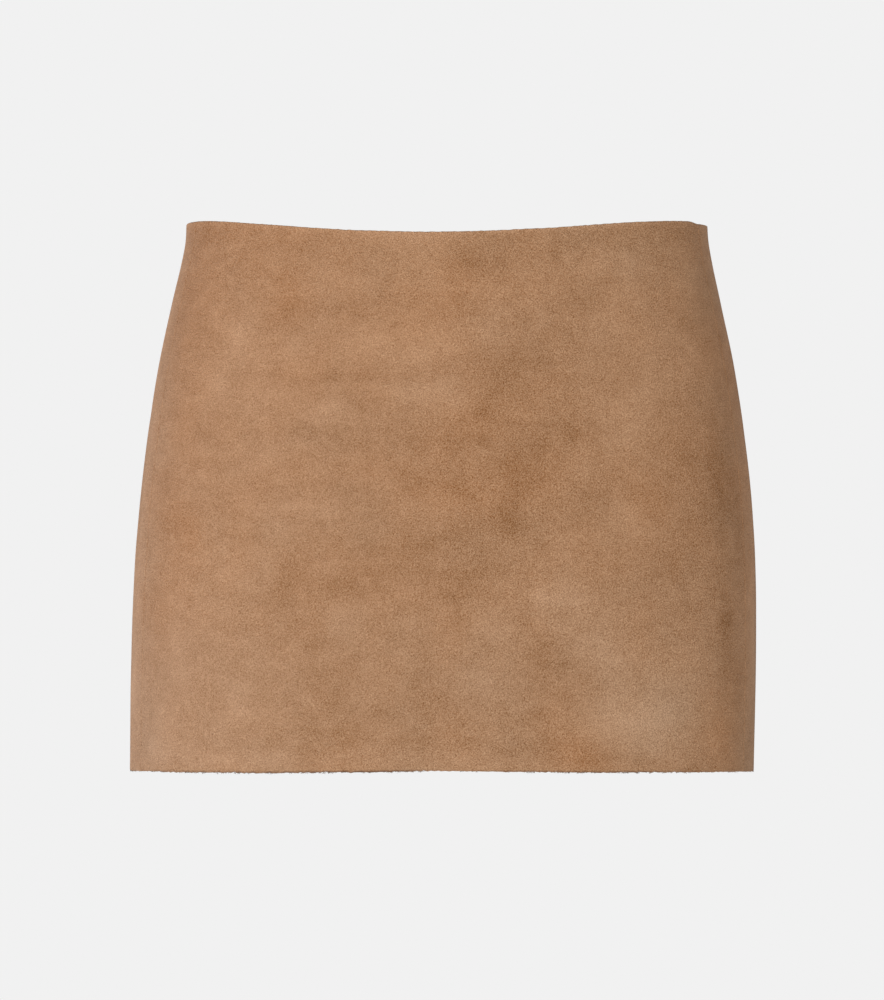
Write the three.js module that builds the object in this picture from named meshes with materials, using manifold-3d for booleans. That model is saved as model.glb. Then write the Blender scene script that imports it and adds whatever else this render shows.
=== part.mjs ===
// Suede mini skirt, open and hollow in its worn form: a front panel, two back panels and a hidden zip.
// Millimetres, +Z up. The front faces -Y and the wearer's left side is +X.
// The origin is the middle of the waist opening, level with the tops of its sides.

import * as THREE from 'three';
import Module from 'manifold-3d';
import { mergeVertices } from 'three/addons/utils/BufferGeometryUtils.js';

// Driving dimensions of the cloth
const SUEDE = 1.5;
const SEAM_GAP = 0.3;
const ALLOWANCE_WIDTH = 10;
const ALLOWANCE_LAYER = 1.3;
const ALLOWANCE_EDGE = 0.5;

// A turn is an angle round the skirt in degrees: -90 front, 0 wearer's left, 90 back, 180 wearer's right
const LEFT_SEAM = -22.5;
const CENTRE_BACK = 90;
const RIGHT_SEAM = 202.5;
const FULL_TURN = 360;

// The left back panel's waist edge starts lower than the front's, and rejoins its line round the side
const LEFT_BACK_STEP = 1.1;
const STEP_RUN = 30;

// Level sections of the outer face: how far below the origin, the half width to each side,
// the depth to the front and to the back, and how square the section is, 2 being an ellipse
const SECTIONS = [
  { below: 0, left: 151.3, right: 149.5, front: 91.0, back: 94.0, square: 2.36 },
  { below: 10, left: 151.9, right: 150.0, front: 92.6, back: 96.0, square: 2.36 },
  { below: 24, left: 154.2, right: 152.7, front: 95.2, back: 99.0, square: 2.36 },
  { below: 45, left: 158.7, right: 157.6, front: 98.8, back: 103.6, square: 2.36 },
  { below: 80, left: 166.1, right: 165.1, front: 103.4, back: 110.6, square: 2.36 },
  { below: 120, left: 172.2, right: 171.4, front: 107.4, back: 117.0, square: 2.36 },
  { below: 160, left: 176.5, right: 176.0, front: 110.0, back: 121.2, square: 2.36 },
  { below: 200, left: 178.6, right: 179.1, front: 111.4, back: 122.8, square: 2.36 },
  { below: 250, left: 178.9, right: 181.0, front: 112.0, back: 122.0, square: 2.36 },
  { below: 316, left: 177.7, right: 182.0, front: 112.0, back: 119.6, square: 2.36 },
];

// The two cut edges: how far the waist and the hem lie below the origin, at each turn.
// One row past the front at each end keeps the line smooth there.
const EDGES = [
  { turn: -111, waist: 8.1, hem: 309.9 },
  { turn: -90, waist: 9.4, hem: 308.8 },
  { turn: -69, waist: 7.1, hem: 309.8 },
  { turn: -49, waist: 2.9, hem: 310.9 },
  { turn: -31, waist: 0.8, hem: 312.4 },
  { turn: 0, waist: 0.9, hem: 315.2 },
  { turn: 45, waist: 0.6, hem: 315.4 },
  { turn: 90, waist: 0.5, hem: 315.0 },
  { turn: 135, waist: 0.4, hem: 315.0 },
  { turn: 180, waist: 0.3, hem: 314.8 },
  { turn: 211, waist: 0.8, hem: 312.2 },
  { turn: 229, waist: 4.0, hem: 311.1 },
  { turn: 249, waist: 8.1, hem: 309.9 },
  { turn: 270, waist: 9.4, hem: 308.8 },
  { turn: 291, waist: 7.1, hem: 309.8 },
];

// Large soft folds of the outer face: the middle of each, its reach along and across in millimetres,
// how far its long way leans in degrees, and how far it stands out, or in where negative
const FOLDS = [
  { turn: -87, below: 136, along: 24, across: 75, lean: 10, height: 2.0 },
  { turn: -68, below: 124, along: 24, across: 70, lean: 9, height: -2.0 },
  { turn: -66, below: 260, along: 20, across: 55, lean: -36, height: -1.8 },
  { turn: -52, below: 236, along: 26, across: 70, lean: -30, height: 1.6 },
  { turn: -132, below: 235, along: 22, across: 66, lean: -6, height: 1.4 },
  { turn: 20, below: 225, along: 20, across: 80, lean: -6, height: -1.5 },
  { turn: 38, below: 70, along: 52, across: 17, lean: 8, height: -1.2 },
  { turn: 60, below: 235, along: 22, across: 70, lean: 4, height: 1.6 },
  { turn: 125, below: 240, along: 24, across: 66, lean: -5, height: 1.8 },
  { turn: 142, below: 78, along: 48, across: 17, lean: -7, height: -1.3 },
  { turn: 158, below: 215, along: 20, across: 76, lean: 5, height: -1.4 },
];

// Mesh density: rows crowd towards the waist, where the zip's slider parts the cloth
const PANEL_ROWS = 24;
const ROW_CROWDING = 1.35;
const FRONT_COLUMNS = 38;
const BACK_COLUMNS = 24;

// Driving dimensions of the zip
const SLIDER_BELOW = 15;
const SLIDER_PARTING = 0.85;
const PARTING_REACH = 9;
const TAPE_TOP = 3;
const TAPE_BOTTOM = 152;
const TAPE_INSIDE = SUEDE + ALLOWANCE_LAYER + SEAM_GAP;
const TAPE_THICKNESS = 0.7;
const TAPE_FROM_MIDDLE = 2.2;
const TAPE_WIDTH = 9.6;
const TAPE_ROWS = 15;
const TAPE_COLUMNS = 3;

// The slider, in its own frame: x across, y out of the cloth, z up along it
const SLIDER = {
  bodyWidth: 6.4, bodyFoot: 4.6, bodyLength: 11, bodyThickness: 3.4,
  neckWidth: 1.2, neckLength: 6,
  crownWidth: 3.8, crownLength: 9, crownOut: 0.3, crownThickness: 0.8,
  archWidth: 1.6, archReach: 2.6, archTop: 4.1, windowReach: 1.5, windowTop: 3.1,
  neckCorner: 0.4, crownCorner: 1.2, archCorner: 1.56, shoulderShare: 0.5,
};

// The pull tab hangs on its cross bar, which passes through the slider's arch
const TAB = {
  barOut: 2.1, barUp: -0.6, barHalf: 0.55, thickness: 1.2, armReach: 2.2,
  slotReach: 1.15, slotEnd: 4.3, armEnd: 4.9, neck: 1.7, neckAt: 8.5, bulb: 3.8, bulbAt: 21, length: 25.8,
  armEase: 2, neckEase: 6, bulbEase: 5, footEase: 1.6,
};
const TAB_LEAN = 2.9;

// Sides of a small curve, and how near two points lie that are the same
const CURVE_SIDES = 8;
const SAME_POINT = 1e-4;

const suede = new THREE.MeshStandardMaterial({ color: 0xb08662, roughness: 0.95, metalness: 0 });
const tape = new THREE.MeshStandardMaterial({ color: 0x9a7450, roughness: 0.9, metalness: 0 });
const enamel = new THREE.MeshStandardMaterial({ color: 0xa07a55, roughness: 0.45, metalness: 0.2 });

// A smooth curve through a table's rows: it takes a place in the key column and gives the others there
function smoothTable(rows, key, columns) {
  const places = rows.map((row) => row[key]);
  const values = rows.flatMap((row) => columns.map((column) => row[column]));
  const curve = new THREE.CubicInterpolant(places, values, columns.length);
  return (place) => {
    const result = curve.evaluate(place);
    return Object.fromEntries(columns.map((column, index) => [column, result[index]]));
  };
}

const sectionAt = smoothTable(SECTIONS, 'below', ['left', 'right', 'front', 'back', 'square']);
const edgeTable = smoothTable(EDGES, 'turn', ['waist', 'hem']);

// The table starts at the front, so a turn below that goes round once
const edgesAt = (turn) => edgeTable(turn < EDGES[1].turn ? turn + FULL_TURN : turn);

// A point on the level sections alone, with no folds
function sectionPoint(turn, below) {
  const section = sectionAt(below);
  const angle = THREE.MathUtils.degToRad(turn);
  const across = Math.cos(angle);
  const deep = Math.sin(angle);
  const power = section.square;
  const reach = (Math.abs(across) ** power + Math.abs(deep) ** power) ** (-1 / power);
  const halfWidth = across > 0 ? section.left : section.right;
  const halfDepth = deep > 0 ? section.back : section.front;
  return new THREE.Vector3(across * reach * halfWidth, deep * reach * halfDepth, -below);
}

// Degrees from one turn to another, the short way round
function turnsBetween(from, to) {
  return THREE.MathUtils.euclideanModulo(to - from + FULL_TURN / 2, FULL_TURN) - FULL_TURN / 2;
}

// The folds, each with its lean's cosine and sine and the millimetres in a degree of turn at its middle
const folds = FOLDS.map((fold) => {
  const lean = THREE.MathUtils.degToRad(fold.lean);
  const next = sectionPoint(fold.turn + 1, fold.below);
  const degree = sectionPoint(fold.turn, fold.below).distanceTo(next);
  return { ...fold, cos: Math.cos(lean), sin: Math.sin(lean), degree };
});

// How far the folds carry the outer face from its sections: a leaning bell for each
function foldsAt(turn, below) {
  return folds.reduce((sum, fold) => {
    const away = turnsBetween(fold.turn, turn) * fold.degree;
    const down = below - fold.below;
    const along = (away * fold.cos + down * fold.sin) / fold.along;
    const across = (down * fold.cos - away * fold.sin) / fold.across;
    return sum + fold.height * Math.exp(-along * along - across * across);
  }, 0);
}

// A point on the outer face: its section's point, carried level from the axis by the folds
function outerAt(turn, below) {
  const point = sectionPoint(turn, below);
  const carry = 1 + foldsAt(turn, below) / Math.hypot(point.x, point.y);
  point.x *= carry;
  point.y *= carry;
  return point;
}

// Millimetres along the cloth for each degree of turn
function stretchAt(turn, below) {
  const step = 0.25;
  return outerAt(turn + step, below).distanceTo(outerAt(turn - step, below)) / (2 * step);
}

// The way out of the cloth
function outwardAt(turn, below) {
  const step = 0.5;
  const round = outerAt(turn + step, below).sub(outerAt(turn - step, below));
  const up = outerAt(turn, below - step).sub(outerAt(turn, below + step));
  return round.cross(up).normalize();
}

// A point some way into the cloth from its outer face
function insideAt(turn, below, depth) {
  return outerAt(turn, below).addScaledVector(outwardAt(turn, below), -depth);
}

// A closed wall between two grids of points with the same rows and columns.
// Columns run the way turns do, and rows run down.
function closedWall(outer, inner) {
  const rows = outer.length;
  const columns = outer[0].length;
  const points = [...outer.flat(), ...inner.flat()];
  const out = (row, column) => row * columns + column;
  const within = (row, column) => rows * columns + row * columns + column;
  const faces = [];
  const quad = (a, b, c, d) => faces.push(a, b, c, a, c, d);
  for (let row = 0; row + 1 < rows; row += 1) {
    for (let column = 0; column + 1 < columns; column += 1) {
      quad(out(row, column), out(row + 1, column), out(row + 1, column + 1), out(row, column + 1));
      const [a, b] = [within(row, column), within(row, column + 1)];
      quad(a, b, within(row + 1, column + 1), within(row + 1, column));
    }
    const last = columns - 1;
    quad(out(row, 0), within(row, 0), within(row + 1, 0), out(row + 1, 0));
    quad(out(row, last), out(row + 1, last), within(row + 1, last), within(row, last));
  }
  const foot = rows - 1;
  for (let column = 0; column + 1 < columns; column += 1) {
    quad(out(0, column), out(0, column + 1), within(0, column + 1), within(0, column));
    quad(out(foot, column), within(foot, column), within(foot, column + 1), out(foot, column + 1));
  }
  const geometry = new THREE.BufferGeometry().setFromPoints(points);
  geometry.setIndex(faces);
  geometry.computeVertexNormals();
  return geometry;
}

// How far a back panel's edge stands off the centre-back line, pushed aside by the slider's neck
function zipParting(below) {
  const away = (below - SLIDER_BELOW) / PARTING_REACH;
  return SEAM_GAP / 2 + SLIDER_PARTING * Math.exp(-away * away);
}

// A panel between two seams. Its allowances, pressed open inside, thicken it beside both seams.
function panel({ name, from, to, columns, fromGap, toGap, step = 0 }) {
  const allowance = [
    { along: 0, depth: SUEDE + ALLOWANCE_LAYER },
    { along: ALLOWANCE_WIDTH, depth: SUEDE + ALLOWANCE_LAYER },
    { along: ALLOWANCE_WIDTH + ALLOWANCE_EDGE, depth: SUEDE },
  ];
  const outer = [];
  const inner = [];
  for (let row = 0; row <= PANEL_ROWS; row += 1) {
    const share = (row / PANEL_ROWS) ** ROW_CROWDING;
    const middle = sectionLevel((from + to) / 2, share);
    const start = allowance.map(({ along, depth }) => (
      { turn: from + (fromGap(sectionLevel(from, share)) + along) / stretchAt(from, middle), depth }));
    const end = allowance.map(({ along, depth }) => (
      { turn: to - (toGap(sectionLevel(to, share)) + along) / stretchAt(to, middle), depth })).reverse();
    const first = start[start.length - 1].turn;
    const last = end[0].turn;
    const between = [];
    for (let column = 1; column < columns; column += 1) {
      between.push({ turn: THREE.MathUtils.lerp(first, last, column / columns), depth: SUEDE });
    }
    const places = [...start, ...between, ...end].map(({ turn, depth }) => (
      { turn, depth, below: sectionLevel(turn, share, step * Math.exp(-(turn - from) / STEP_RUN)) }));
    outer.push(places.map(({ turn, below }) => outerAt(turn, below)));
    inner.push(places.map(({ turn, depth, below }) => insideAt(turn, below, depth)));
  }
  const mesh = new THREE.Mesh(closedWall(outer, inner), suede);
  mesh.name = name;
  return mesh;
}

// The depth below the origin of a share of the way from the waist edge to the hem
function sectionLevel(turn, share, step = 0) {
  const edge = edgesAt(turn);
  return THREE.MathUtils.lerp(edge.waist + step, edge.hem, share);
}

// A zip tape inside one back panel, from its points moved in past the allowance. side is -1 or 1.
function zipTape(name, side) {
  const outer = [];
  const inner = [];
  for (let row = 0; row <= TAPE_ROWS; row += 1) {
    const below = THREE.MathUtils.lerp(TAPE_TOP, TAPE_BOTTOM, row / TAPE_ROWS);
    const stretch = stretchAt(CENTRE_BACK, below);
    const near = [];
    const far = [];
    for (let column = 0; column <= TAPE_COLUMNS; column += 1) {
      const share = side > 0 ? column / TAPE_COLUMNS : 1 - column / TAPE_COLUMNS;
      const along = side * (TAPE_FROM_MIDDLE + TAPE_WIDTH * share);
      near.push(insideAt(CENTRE_BACK + along / stretch, below, TAPE_INSIDE));
      far.push(insideAt(CENTRE_BACK + along / stretch, below, TAPE_INSIDE + TAPE_THICKNESS));
    }
    outer.push(near);
    inner.push(far);
  }
  const mesh = new THREE.Mesh(closedWall(outer, inner), tape);
  mesh.name = name;
  return mesh;
}

// Joins closed geometries into one
async function joined(geometries) {
  const wasm = await Module();
  wasm.setup();
  const solids = geometries.map((geometry) => {
    const bare = geometry.clone();
    bare.deleteAttribute('normal');
    bare.deleteAttribute('uv');
    const merged = mergeVertices(bare, SAME_POINT);
    const vertProperties = new Float32Array(merged.attributes.position.array);
    const triVerts = new Uint32Array(merged.index.array);
    return new wasm.Manifold(new wasm.Mesh({ numProp: 3, vertProperties, triVerts }));
  });
  const whole = solids.reduce((sum, solid) => sum.add(solid)).getMesh();
  const geometry = new THREE.BufferGeometry();
  geometry.setAttribute('position', new THREE.BufferAttribute(new Float32Array(whole.vertProperties), 3));
  geometry.setIndex(new THREE.BufferAttribute(new Uint32Array(whole.triVerts), 1));
  geometry.computeVertexNormals();
  return geometry;
}

// A flat plate in the slider's frame: its outline in x and z, and its faces at two values of y
function plate(shape, from, thickness) {
  return extruded(shape, thickness).rotateX(Math.PI / 2).translate(0, from + thickness, 0);
}

// An outline drawn out straight, with sharp edges
function extruded(shape, depth) {
  return new THREE.ExtrudeGeometry(shape, { depth, bevelEnabled: false, curveSegments: CURVE_SIDES });
}

// A rectangle with round corners, centred on the origin
function roundedOutline(width, height, radius) {
  const x = width / 2;
  const y = height / 2;
  const shape = new THREE.Shape();
  shape.moveTo(-x + radius, -y);
  shape.lineTo(x - radius, -y);
  shape.quadraticCurveTo(x, -y, x, -y + radius);
  shape.lineTo(x, y - radius);
  shape.quadraticCurveTo(x, y, x - radius, y);
  shape.lineTo(-x + radius, y);
  shape.quadraticCurveTo(-x, y, -x, y - radius);
  shape.lineTo(-x, -y + radius);
  shape.quadraticCurveTo(-x, -y, -x + radius, -y);
  return shape;
}

// The slider: a body inside the cloth, wider at its top, a neck between the edges, a crown and its arch
async function slider() {
  const bodyOut = -(TAPE_INSIDE + TAPE_THICKNESS + SEAM_GAP);
  const body = new THREE.Shape();
  const top = SLIDER.bodyLength / 2;
  const wide = SLIDER.bodyWidth / 2;
  const narrow = SLIDER.bodyFoot / 2;
  body.moveTo(-narrow, -top);
  body.lineTo(narrow, -top);
  const shoulder = top * SLIDER.shoulderShare;
  body.quadraticCurveTo(narrow, 0, wide, shoulder);
  body.quadraticCurveTo(wide, top, 0, top);
  body.quadraticCurveTo(-wide, top, -wide, shoulder);
  body.quadraticCurveTo(-narrow, 0, -narrow, -top);
  const crownFoot = SLIDER.crownOut;
  const crownTop = crownFoot + SLIDER.crownThickness;
  const neckFrom = bodyOut - SLIDER.bodyThickness / 2;
  const neck = roundedOutline(SLIDER.neckWidth, SLIDER.neckLength, SLIDER.neckCorner);
  const crown = roundedOutline(SLIDER.crownWidth, SLIDER.crownLength, SLIDER.crownCorner);
  const arch = new THREE.Shape();
  const bend = SLIDER.archTop - SLIDER.archCorner;
  arch.moveTo(-SLIDER.archReach, crownFoot + SLIDER.crownThickness / 2);
  arch.lineTo(SLIDER.archReach, crownFoot + SLIDER.crownThickness / 2);
  arch.lineTo(SLIDER.archReach, bend);
  arch.quadraticCurveTo(SLIDER.archReach, SLIDER.archTop, 0, SLIDER.archTop);
  arch.quadraticCurveTo(-SLIDER.archReach, SLIDER.archTop, -SLIDER.archReach, bend);
  const gate = new THREE.Path();
  gate.moveTo(-SLIDER.windowReach, crownTop);
  gate.lineTo(-SLIDER.windowReach, SLIDER.windowTop);
  gate.lineTo(SLIDER.windowReach, SLIDER.windowTop);
  gate.lineTo(SLIDER.windowReach, crownTop);
  arch.holes.push(gate);
  const archSolid = extruded(arch, SLIDER.archWidth);
  archSolid.rotateY(-Math.PI / 2).translate(SLIDER.archWidth / 2, 0, 0);
  const mesh = new THREE.Mesh(await joined([
    plate(body, bodyOut - SLIDER.bodyThickness, SLIDER.bodyThickness),
    plate(neck, neckFrom, crownTop - SLIDER.crownThickness / 2 - neckFrom),
    plate(crown, crownFoot, SLIDER.crownThickness),
    archSolid,
  ]), enamel);
  mesh.name = 'zip_slider';
  return mesh;
}

// The drop-shaped pull tab, drawn from its cross bar down
function pullTab() {
  const { armReach, neck, bulb } = TAB;
  const armBend = -TAB.armEnd - TAB.armEase;
  const neckBend = -TAB.neckAt - TAB.neckEase;
  const bulbBend = -TAB.bulbAt + TAB.bulbEase;
  const footBend = -TAB.length + TAB.footEase;
  const shape = new THREE.Shape();
  shape.moveTo(-armReach, TAB.barHalf);
  shape.lineTo(-armReach, -TAB.armEnd);
  shape.quadraticCurveTo(-armReach, armBend, -neck, -TAB.neckAt);
  shape.bezierCurveTo(-neck, neckBend, -bulb, bulbBend, -bulb, -TAB.bulbAt);
  shape.bezierCurveTo(-bulb, footBend, -neck, -TAB.length, 0, -TAB.length);
  shape.bezierCurveTo(neck, -TAB.length, bulb, footBend, bulb, -TAB.bulbAt);
  shape.bezierCurveTo(bulb, bulbBend, neck, neckBend, neck, -TAB.neckAt);
  shape.quadraticCurveTo(armReach, armBend, armReach, -TAB.armEnd);
  shape.lineTo(armReach, TAB.barHalf);
  const slot = new THREE.Path();
  slot.moveTo(-TAB.slotReach, -TAB.barHalf);
  slot.lineTo(-TAB.slotReach, -TAB.slotEnd);
  slot.lineTo(TAB.slotReach, -TAB.slotEnd);
  slot.lineTo(TAB.slotReach, -TAB.barHalf);
  shape.holes.push(slot);
  const mesh = new THREE.Mesh(plate(shape, -TAB.thickness / 2, TAB.thickness), enamel);
  mesh.name = 'zip_pull_tab';
  mesh.position.set(0, TAB.barOut, TAB.barUp);
  mesh.rotation.x = -THREE.MathUtils.degToRad(TAB_LEAN);
  return mesh;
}

const halfGap = () => SEAM_GAP / 2;

const skirt = new THREE.Group();
skirt.add(panel({
  name: 'front_panel', from: RIGHT_SEAM - FULL_TURN, to: LEFT_SEAM, columns: FRONT_COLUMNS,
  fromGap: halfGap, toGap: halfGap,
}));
skirt.add(panel({
  name: 'back_panel_left', from: LEFT_SEAM, to: CENTRE_BACK, columns: BACK_COLUMNS,
  fromGap: halfGap, toGap: zipParting, step: LEFT_BACK_STEP,
}));
skirt.add(panel({
  name: 'back_panel_right', from: CENTRE_BACK, to: RIGHT_SEAM, columns: BACK_COLUMNS,
  fromGap: zipParting, toGap: halfGap,
}));
skirt.add(zipTape('zip_tape_left', -1));
skirt.add(zipTape('zip_tape_right', 1));

const zipHead = new THREE.Group();
const wayOut = outwardAt(CENTRE_BACK, SLIDER_BELOW);
zipHead.position.copy(outerAt(CENTRE_BACK, SLIDER_BELOW));
zipHead.rotation.x = Math.atan2(wayOut.z, wayOut.y);
zipHead.add(await slider());
zipHead.add(pullTab());
skirt.add(zipHead);

export default skirt;
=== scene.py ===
"""The looks of a suede mini skirt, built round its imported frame.

The skirt is open and hollow, in its worn form. Blender's side is in metres. Sizes here are in millimetres
unless a comment says otherwise, +Z up. The front faces -Y and the wearer's left side is +X. Two words
place a point on the cloth: turn is the angle round the skirt in degrees, -90 at the front, 0 at the
wearer's left, 90 at the back and 180 at the wearer's right, and below is the depth under the origin.
"""

import logging
import math
from dataclasses import dataclass, field
from enum import Enum
from typing import Callable, NamedTuple

import bmesh
import bpy
import numpy as np
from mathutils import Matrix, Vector


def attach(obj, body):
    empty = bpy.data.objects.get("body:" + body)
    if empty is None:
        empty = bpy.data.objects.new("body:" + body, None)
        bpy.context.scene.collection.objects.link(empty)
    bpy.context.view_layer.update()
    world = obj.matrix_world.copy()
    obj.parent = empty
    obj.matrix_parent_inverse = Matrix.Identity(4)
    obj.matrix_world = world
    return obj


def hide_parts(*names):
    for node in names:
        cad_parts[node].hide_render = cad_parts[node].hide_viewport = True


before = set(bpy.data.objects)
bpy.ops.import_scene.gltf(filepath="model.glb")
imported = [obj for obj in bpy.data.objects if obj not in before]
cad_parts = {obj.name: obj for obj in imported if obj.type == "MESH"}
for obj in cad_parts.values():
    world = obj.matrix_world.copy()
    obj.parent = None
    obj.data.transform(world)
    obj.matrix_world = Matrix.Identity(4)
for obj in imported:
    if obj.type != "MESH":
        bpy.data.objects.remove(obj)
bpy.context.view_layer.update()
LOG = logging.getLogger("skirt")
Array = np.ndarray
Rows = tuple[tuple[float, ...], ...]
Colour = tuple[float, float, float, float]

MM = 0.001
FRONT = -90.0
LEFT_SEAM = -22.5
CENTRE_BACK = 90.0
RIGHT_SEAM = 202.5
FULL_TURN = 360.0

# Half the gap between two panels that are sewn together
SEWN_GAP = 0.002

# The sines in an uneven wave, their lengths against its own, and its gain
SINES = 6
SINE_LENGTHS = (0.45, 2.2)
SINE_GAIN = 1.8

# What brings a noise to about -1 to 1
NOISE_GAIN = 4.0

# A power that squares off an oval or a swelling
SQUARED_OFF = 4
WHITE = (1.0, 1.0, 1.0, 1.0)


class Soft(NamedTuple):
    """A soft oval fold or mark: its place, its reach along and across, its amount, in millimetres for a
    fold, and its lean in degrees.
    """

    turn: float
    below: float
    along: float
    across: float
    amount: float
    lean: float = 0.0


class Wave(NamedTuple):
    """An uneven wave: its middle length and the seed of its draw."""

    length: float
    seed: int


def soft_marks(*rows: tuple[float, ...]) -> tuple[Soft, ...]:
    """Soft marks from rows of turn, below, along, across, amount and lean."""
    return tuple(Soft(*row) for row in rows)


# Level sections of the outer face: below, half its width to the left and right, half its depth to the
# front and back, and how squared-off it is, 2 being an ellipse
SECTIONS = (
    (0, 151.3, 149.5, 91.0, 94.0, 2.36), (10, 151.9, 150.0, 92.6, 96.0, 2.36),
    (24, 154.2, 152.7, 95.2, 99.0, 2.36), (45, 158.7, 157.6, 98.8, 103.6, 2.36),
    (80, 166.1, 165.1, 103.4, 110.6, 2.36), (120, 172.2, 171.4, 107.4, 117.0, 2.36),
    (160, 176.5, 176.0, 110.0, 121.2, 2.36), (200, 178.6, 179.1, 111.4, 122.8, 2.36),
    (250, 178.9, 181.0, 112.0, 122.0, 2.36), (316, 177.7, 182.0, 112.0, 119.6, 2.36),
)

# Turn, and how far below the origin the waist edge and the hem edge lie there
EDGES = (
    (-111, 8.1, 309.9), (-90, 9.4, 308.8), (-69, 7.1, 309.8), (-49, 2.9, 310.9), (-31, 0.8, 312.4),
    (0, 0.9, 315.2), (45, 0.6, 315.4), (90, 0.5, 315.0), (135, 0.4, 315.0), (180, 0.3, 314.8),
    (211, 0.8, 312.2), (229, 4.0, 311.1), (249, 8.1, 309.9), (270, 9.4, 308.8), (291, 7.1, 309.8),
)

# Turn, how frayed the waist's cut edge is there and how strong the painted highlight along it, and how
# frayed the hem's is and how strong the painted shade along it, up to 1
FRAY_AND_EDGE_LIGHT = (
    (-158, 0.0, 0.1), (-147, 0.2, 0.35), (-138, 0.5, 0.5), (-120, 0.8, 0.6), (-106, 0.9, 0.8),
    (-97, 0.8, 0.7), (-92, 0.8, 0.15), (-84, 0.9, 0.15), (-78, 1.0, 0.4), (-66, 1.0, 0.5), (-54, 1.0, 0.6),
    (-44, 0.7, 0.35), (-33, 0.3, 0.2), (-20, 0.2, 0.15), (12, 0.8, 0.5), (38, 1.0, 0.6), (60, 0.6, 0.3),
    (84, 0.8, 0.2), (112, 0.7, 0.5), (136, 1.0, 0.4), (160, 0.6, 0.6), (188, 0.4, 0.3),
)

# The large soft folds that the solids have too: ridges are positive and troughs negative
LARGE_FOLDS = soft_marks(
    (-87, 136, 24, 75, 2.0, 10), (-68, 124, 24, 70, -2.0, 9), (-66, 260, 20, 55, -1.8, -36),
    (-52, 236, 26, 70, 1.6, -30), (-132, 235, 22, 66, 1.4, -6), (20, 225, 20, 80, -1.5, -6),
    (38, 70, 52, 17, -1.2, 8), (60, 235, 22, 70, 1.6, 4), (125, 240, 24, 66, 1.8, -5),
    (142, 78, 48, 17, -1.3, -7), (158, 215, 20, 76, -1.4, 5),
)

# Finer creases, which only the visible shells have
CREASES = soft_marks(
    (-112, 121, 64, 5, -0.3, -2), (-111, 91, 34, 4, -0.22, 1), (-121, 52, 16, 5, -0.25, -35),
    (-94, 268, 9, 44, -0.4, 2), (-118, 214, 22, 12, -0.3, 6), (0, 190, 12, 90, 0.5, 2),
    (26, 118, 40, 5, -0.3, -3), (52, 96, 30, 5, -0.28, 4), (74, 270, 12, 52, -0.6, -3),
    (70, 152, 15, 5, -0.25, -30), (108, 262, 9, 40, -0.4, 3), (117, 122, 42, 5, -0.3, 2),
    (139, 150, 30, 5, -0.25, -4), (170, 108, 34, 5, -0.28, 3), (180, 200, 12, 84, 0.5, -2),
)

# Where the grain is coarser than elsewhere
COARSE = soft_marks(
    (-75, 160, 70, 400, 0.25), (-42, 160, 34, 400, 0.35), (-160, 160, 12, 400, 0.2),
    (40, 160, 60, 400, 0.25), (120, 160, 60, 400, 0.15),
)

# Where the tan is cooler than elsewhere, and warmer where negative: the cloth's own hue, and near the side
# rims a painted sheen hue, cooler where sheen greys the rim and warmer where it offsets the sheen's cool
# cast
HUE_AND_RIM_SHEEN = soft_marks(
    (-90, 280, 240, 75, 0.42), (-145, 30, 90, 42, -0.65), (-152, 75, 14, 30, -0.35),
    (-96, 40, 40, 34, -0.25), (-146, 150, 16, 60, -0.35), (-141, 172, 14, 14, -0.3),
    (-178, 260, 14, 80, 0.9), (-150, 285, 40, 35, 0.35), (-112, 120, 22, 16, 0.5), (-115, 168, 22, 16, 0.4),
    (-106, 232, 26, 18, 0.3), (-95, 155, 22, 12, -0.4), (-87, 260, 14, 12, 0.35),
    (-81, 118, 24, 20, -0.35, 10), (-76, 158, 16, 10, -0.3), (-66, 304, 20, 12, -0.75),
    (-64, 66, 20, 14, 0.25), (-58, 15, 20, 20, 0.35), (-60, 245, 22, 16, 0.35), (-52, 154, 16, 14, -0.35),
    (-51, 274, 32, 24, 0.7), (-33, 294, 20, 28, -1.0), (-18, 62, 20, 30, -0.5), (-18, 230, 18, 44, -0.45),
    (-14, 130, 20, 55, -0.8), (-68, 288, 16, 16, -0.45), (-90, 232, 16, 20, -0.35),
    (-139, 184, 12, 22, -0.3), (-158, 122, 12, 26, -0.3), (-88, 162, 18, 14, -0.3),
    (-105, 142, 18, 10, -0.3), (-43, 192, 10, 14, 0.3), (-73, 32, 22, 24, -0.25), (2, 285, 60, 36, 0.5),
    (18, 110, 20, 26, -0.4), (32, 30, 50, 30, -0.35), (44, 190, 26, 20, 0.4), (58, 285, 34, 24, 0.7),
    (66, 130, 22, 30, -0.4, 20), (82, 60, 24, 20, 0.3), (98, 240, 26, 20, -0.35), (108, 300, 24, 14, -0.6),
    (116, 160, 26, 18, 0.45), (132, 40, 50, 30, -0.4), (140, 270, 36, 26, 0.7), (156, 130, 20, 40, -0.35),
    (176, 60, 20, 30, 0.3),
)
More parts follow.
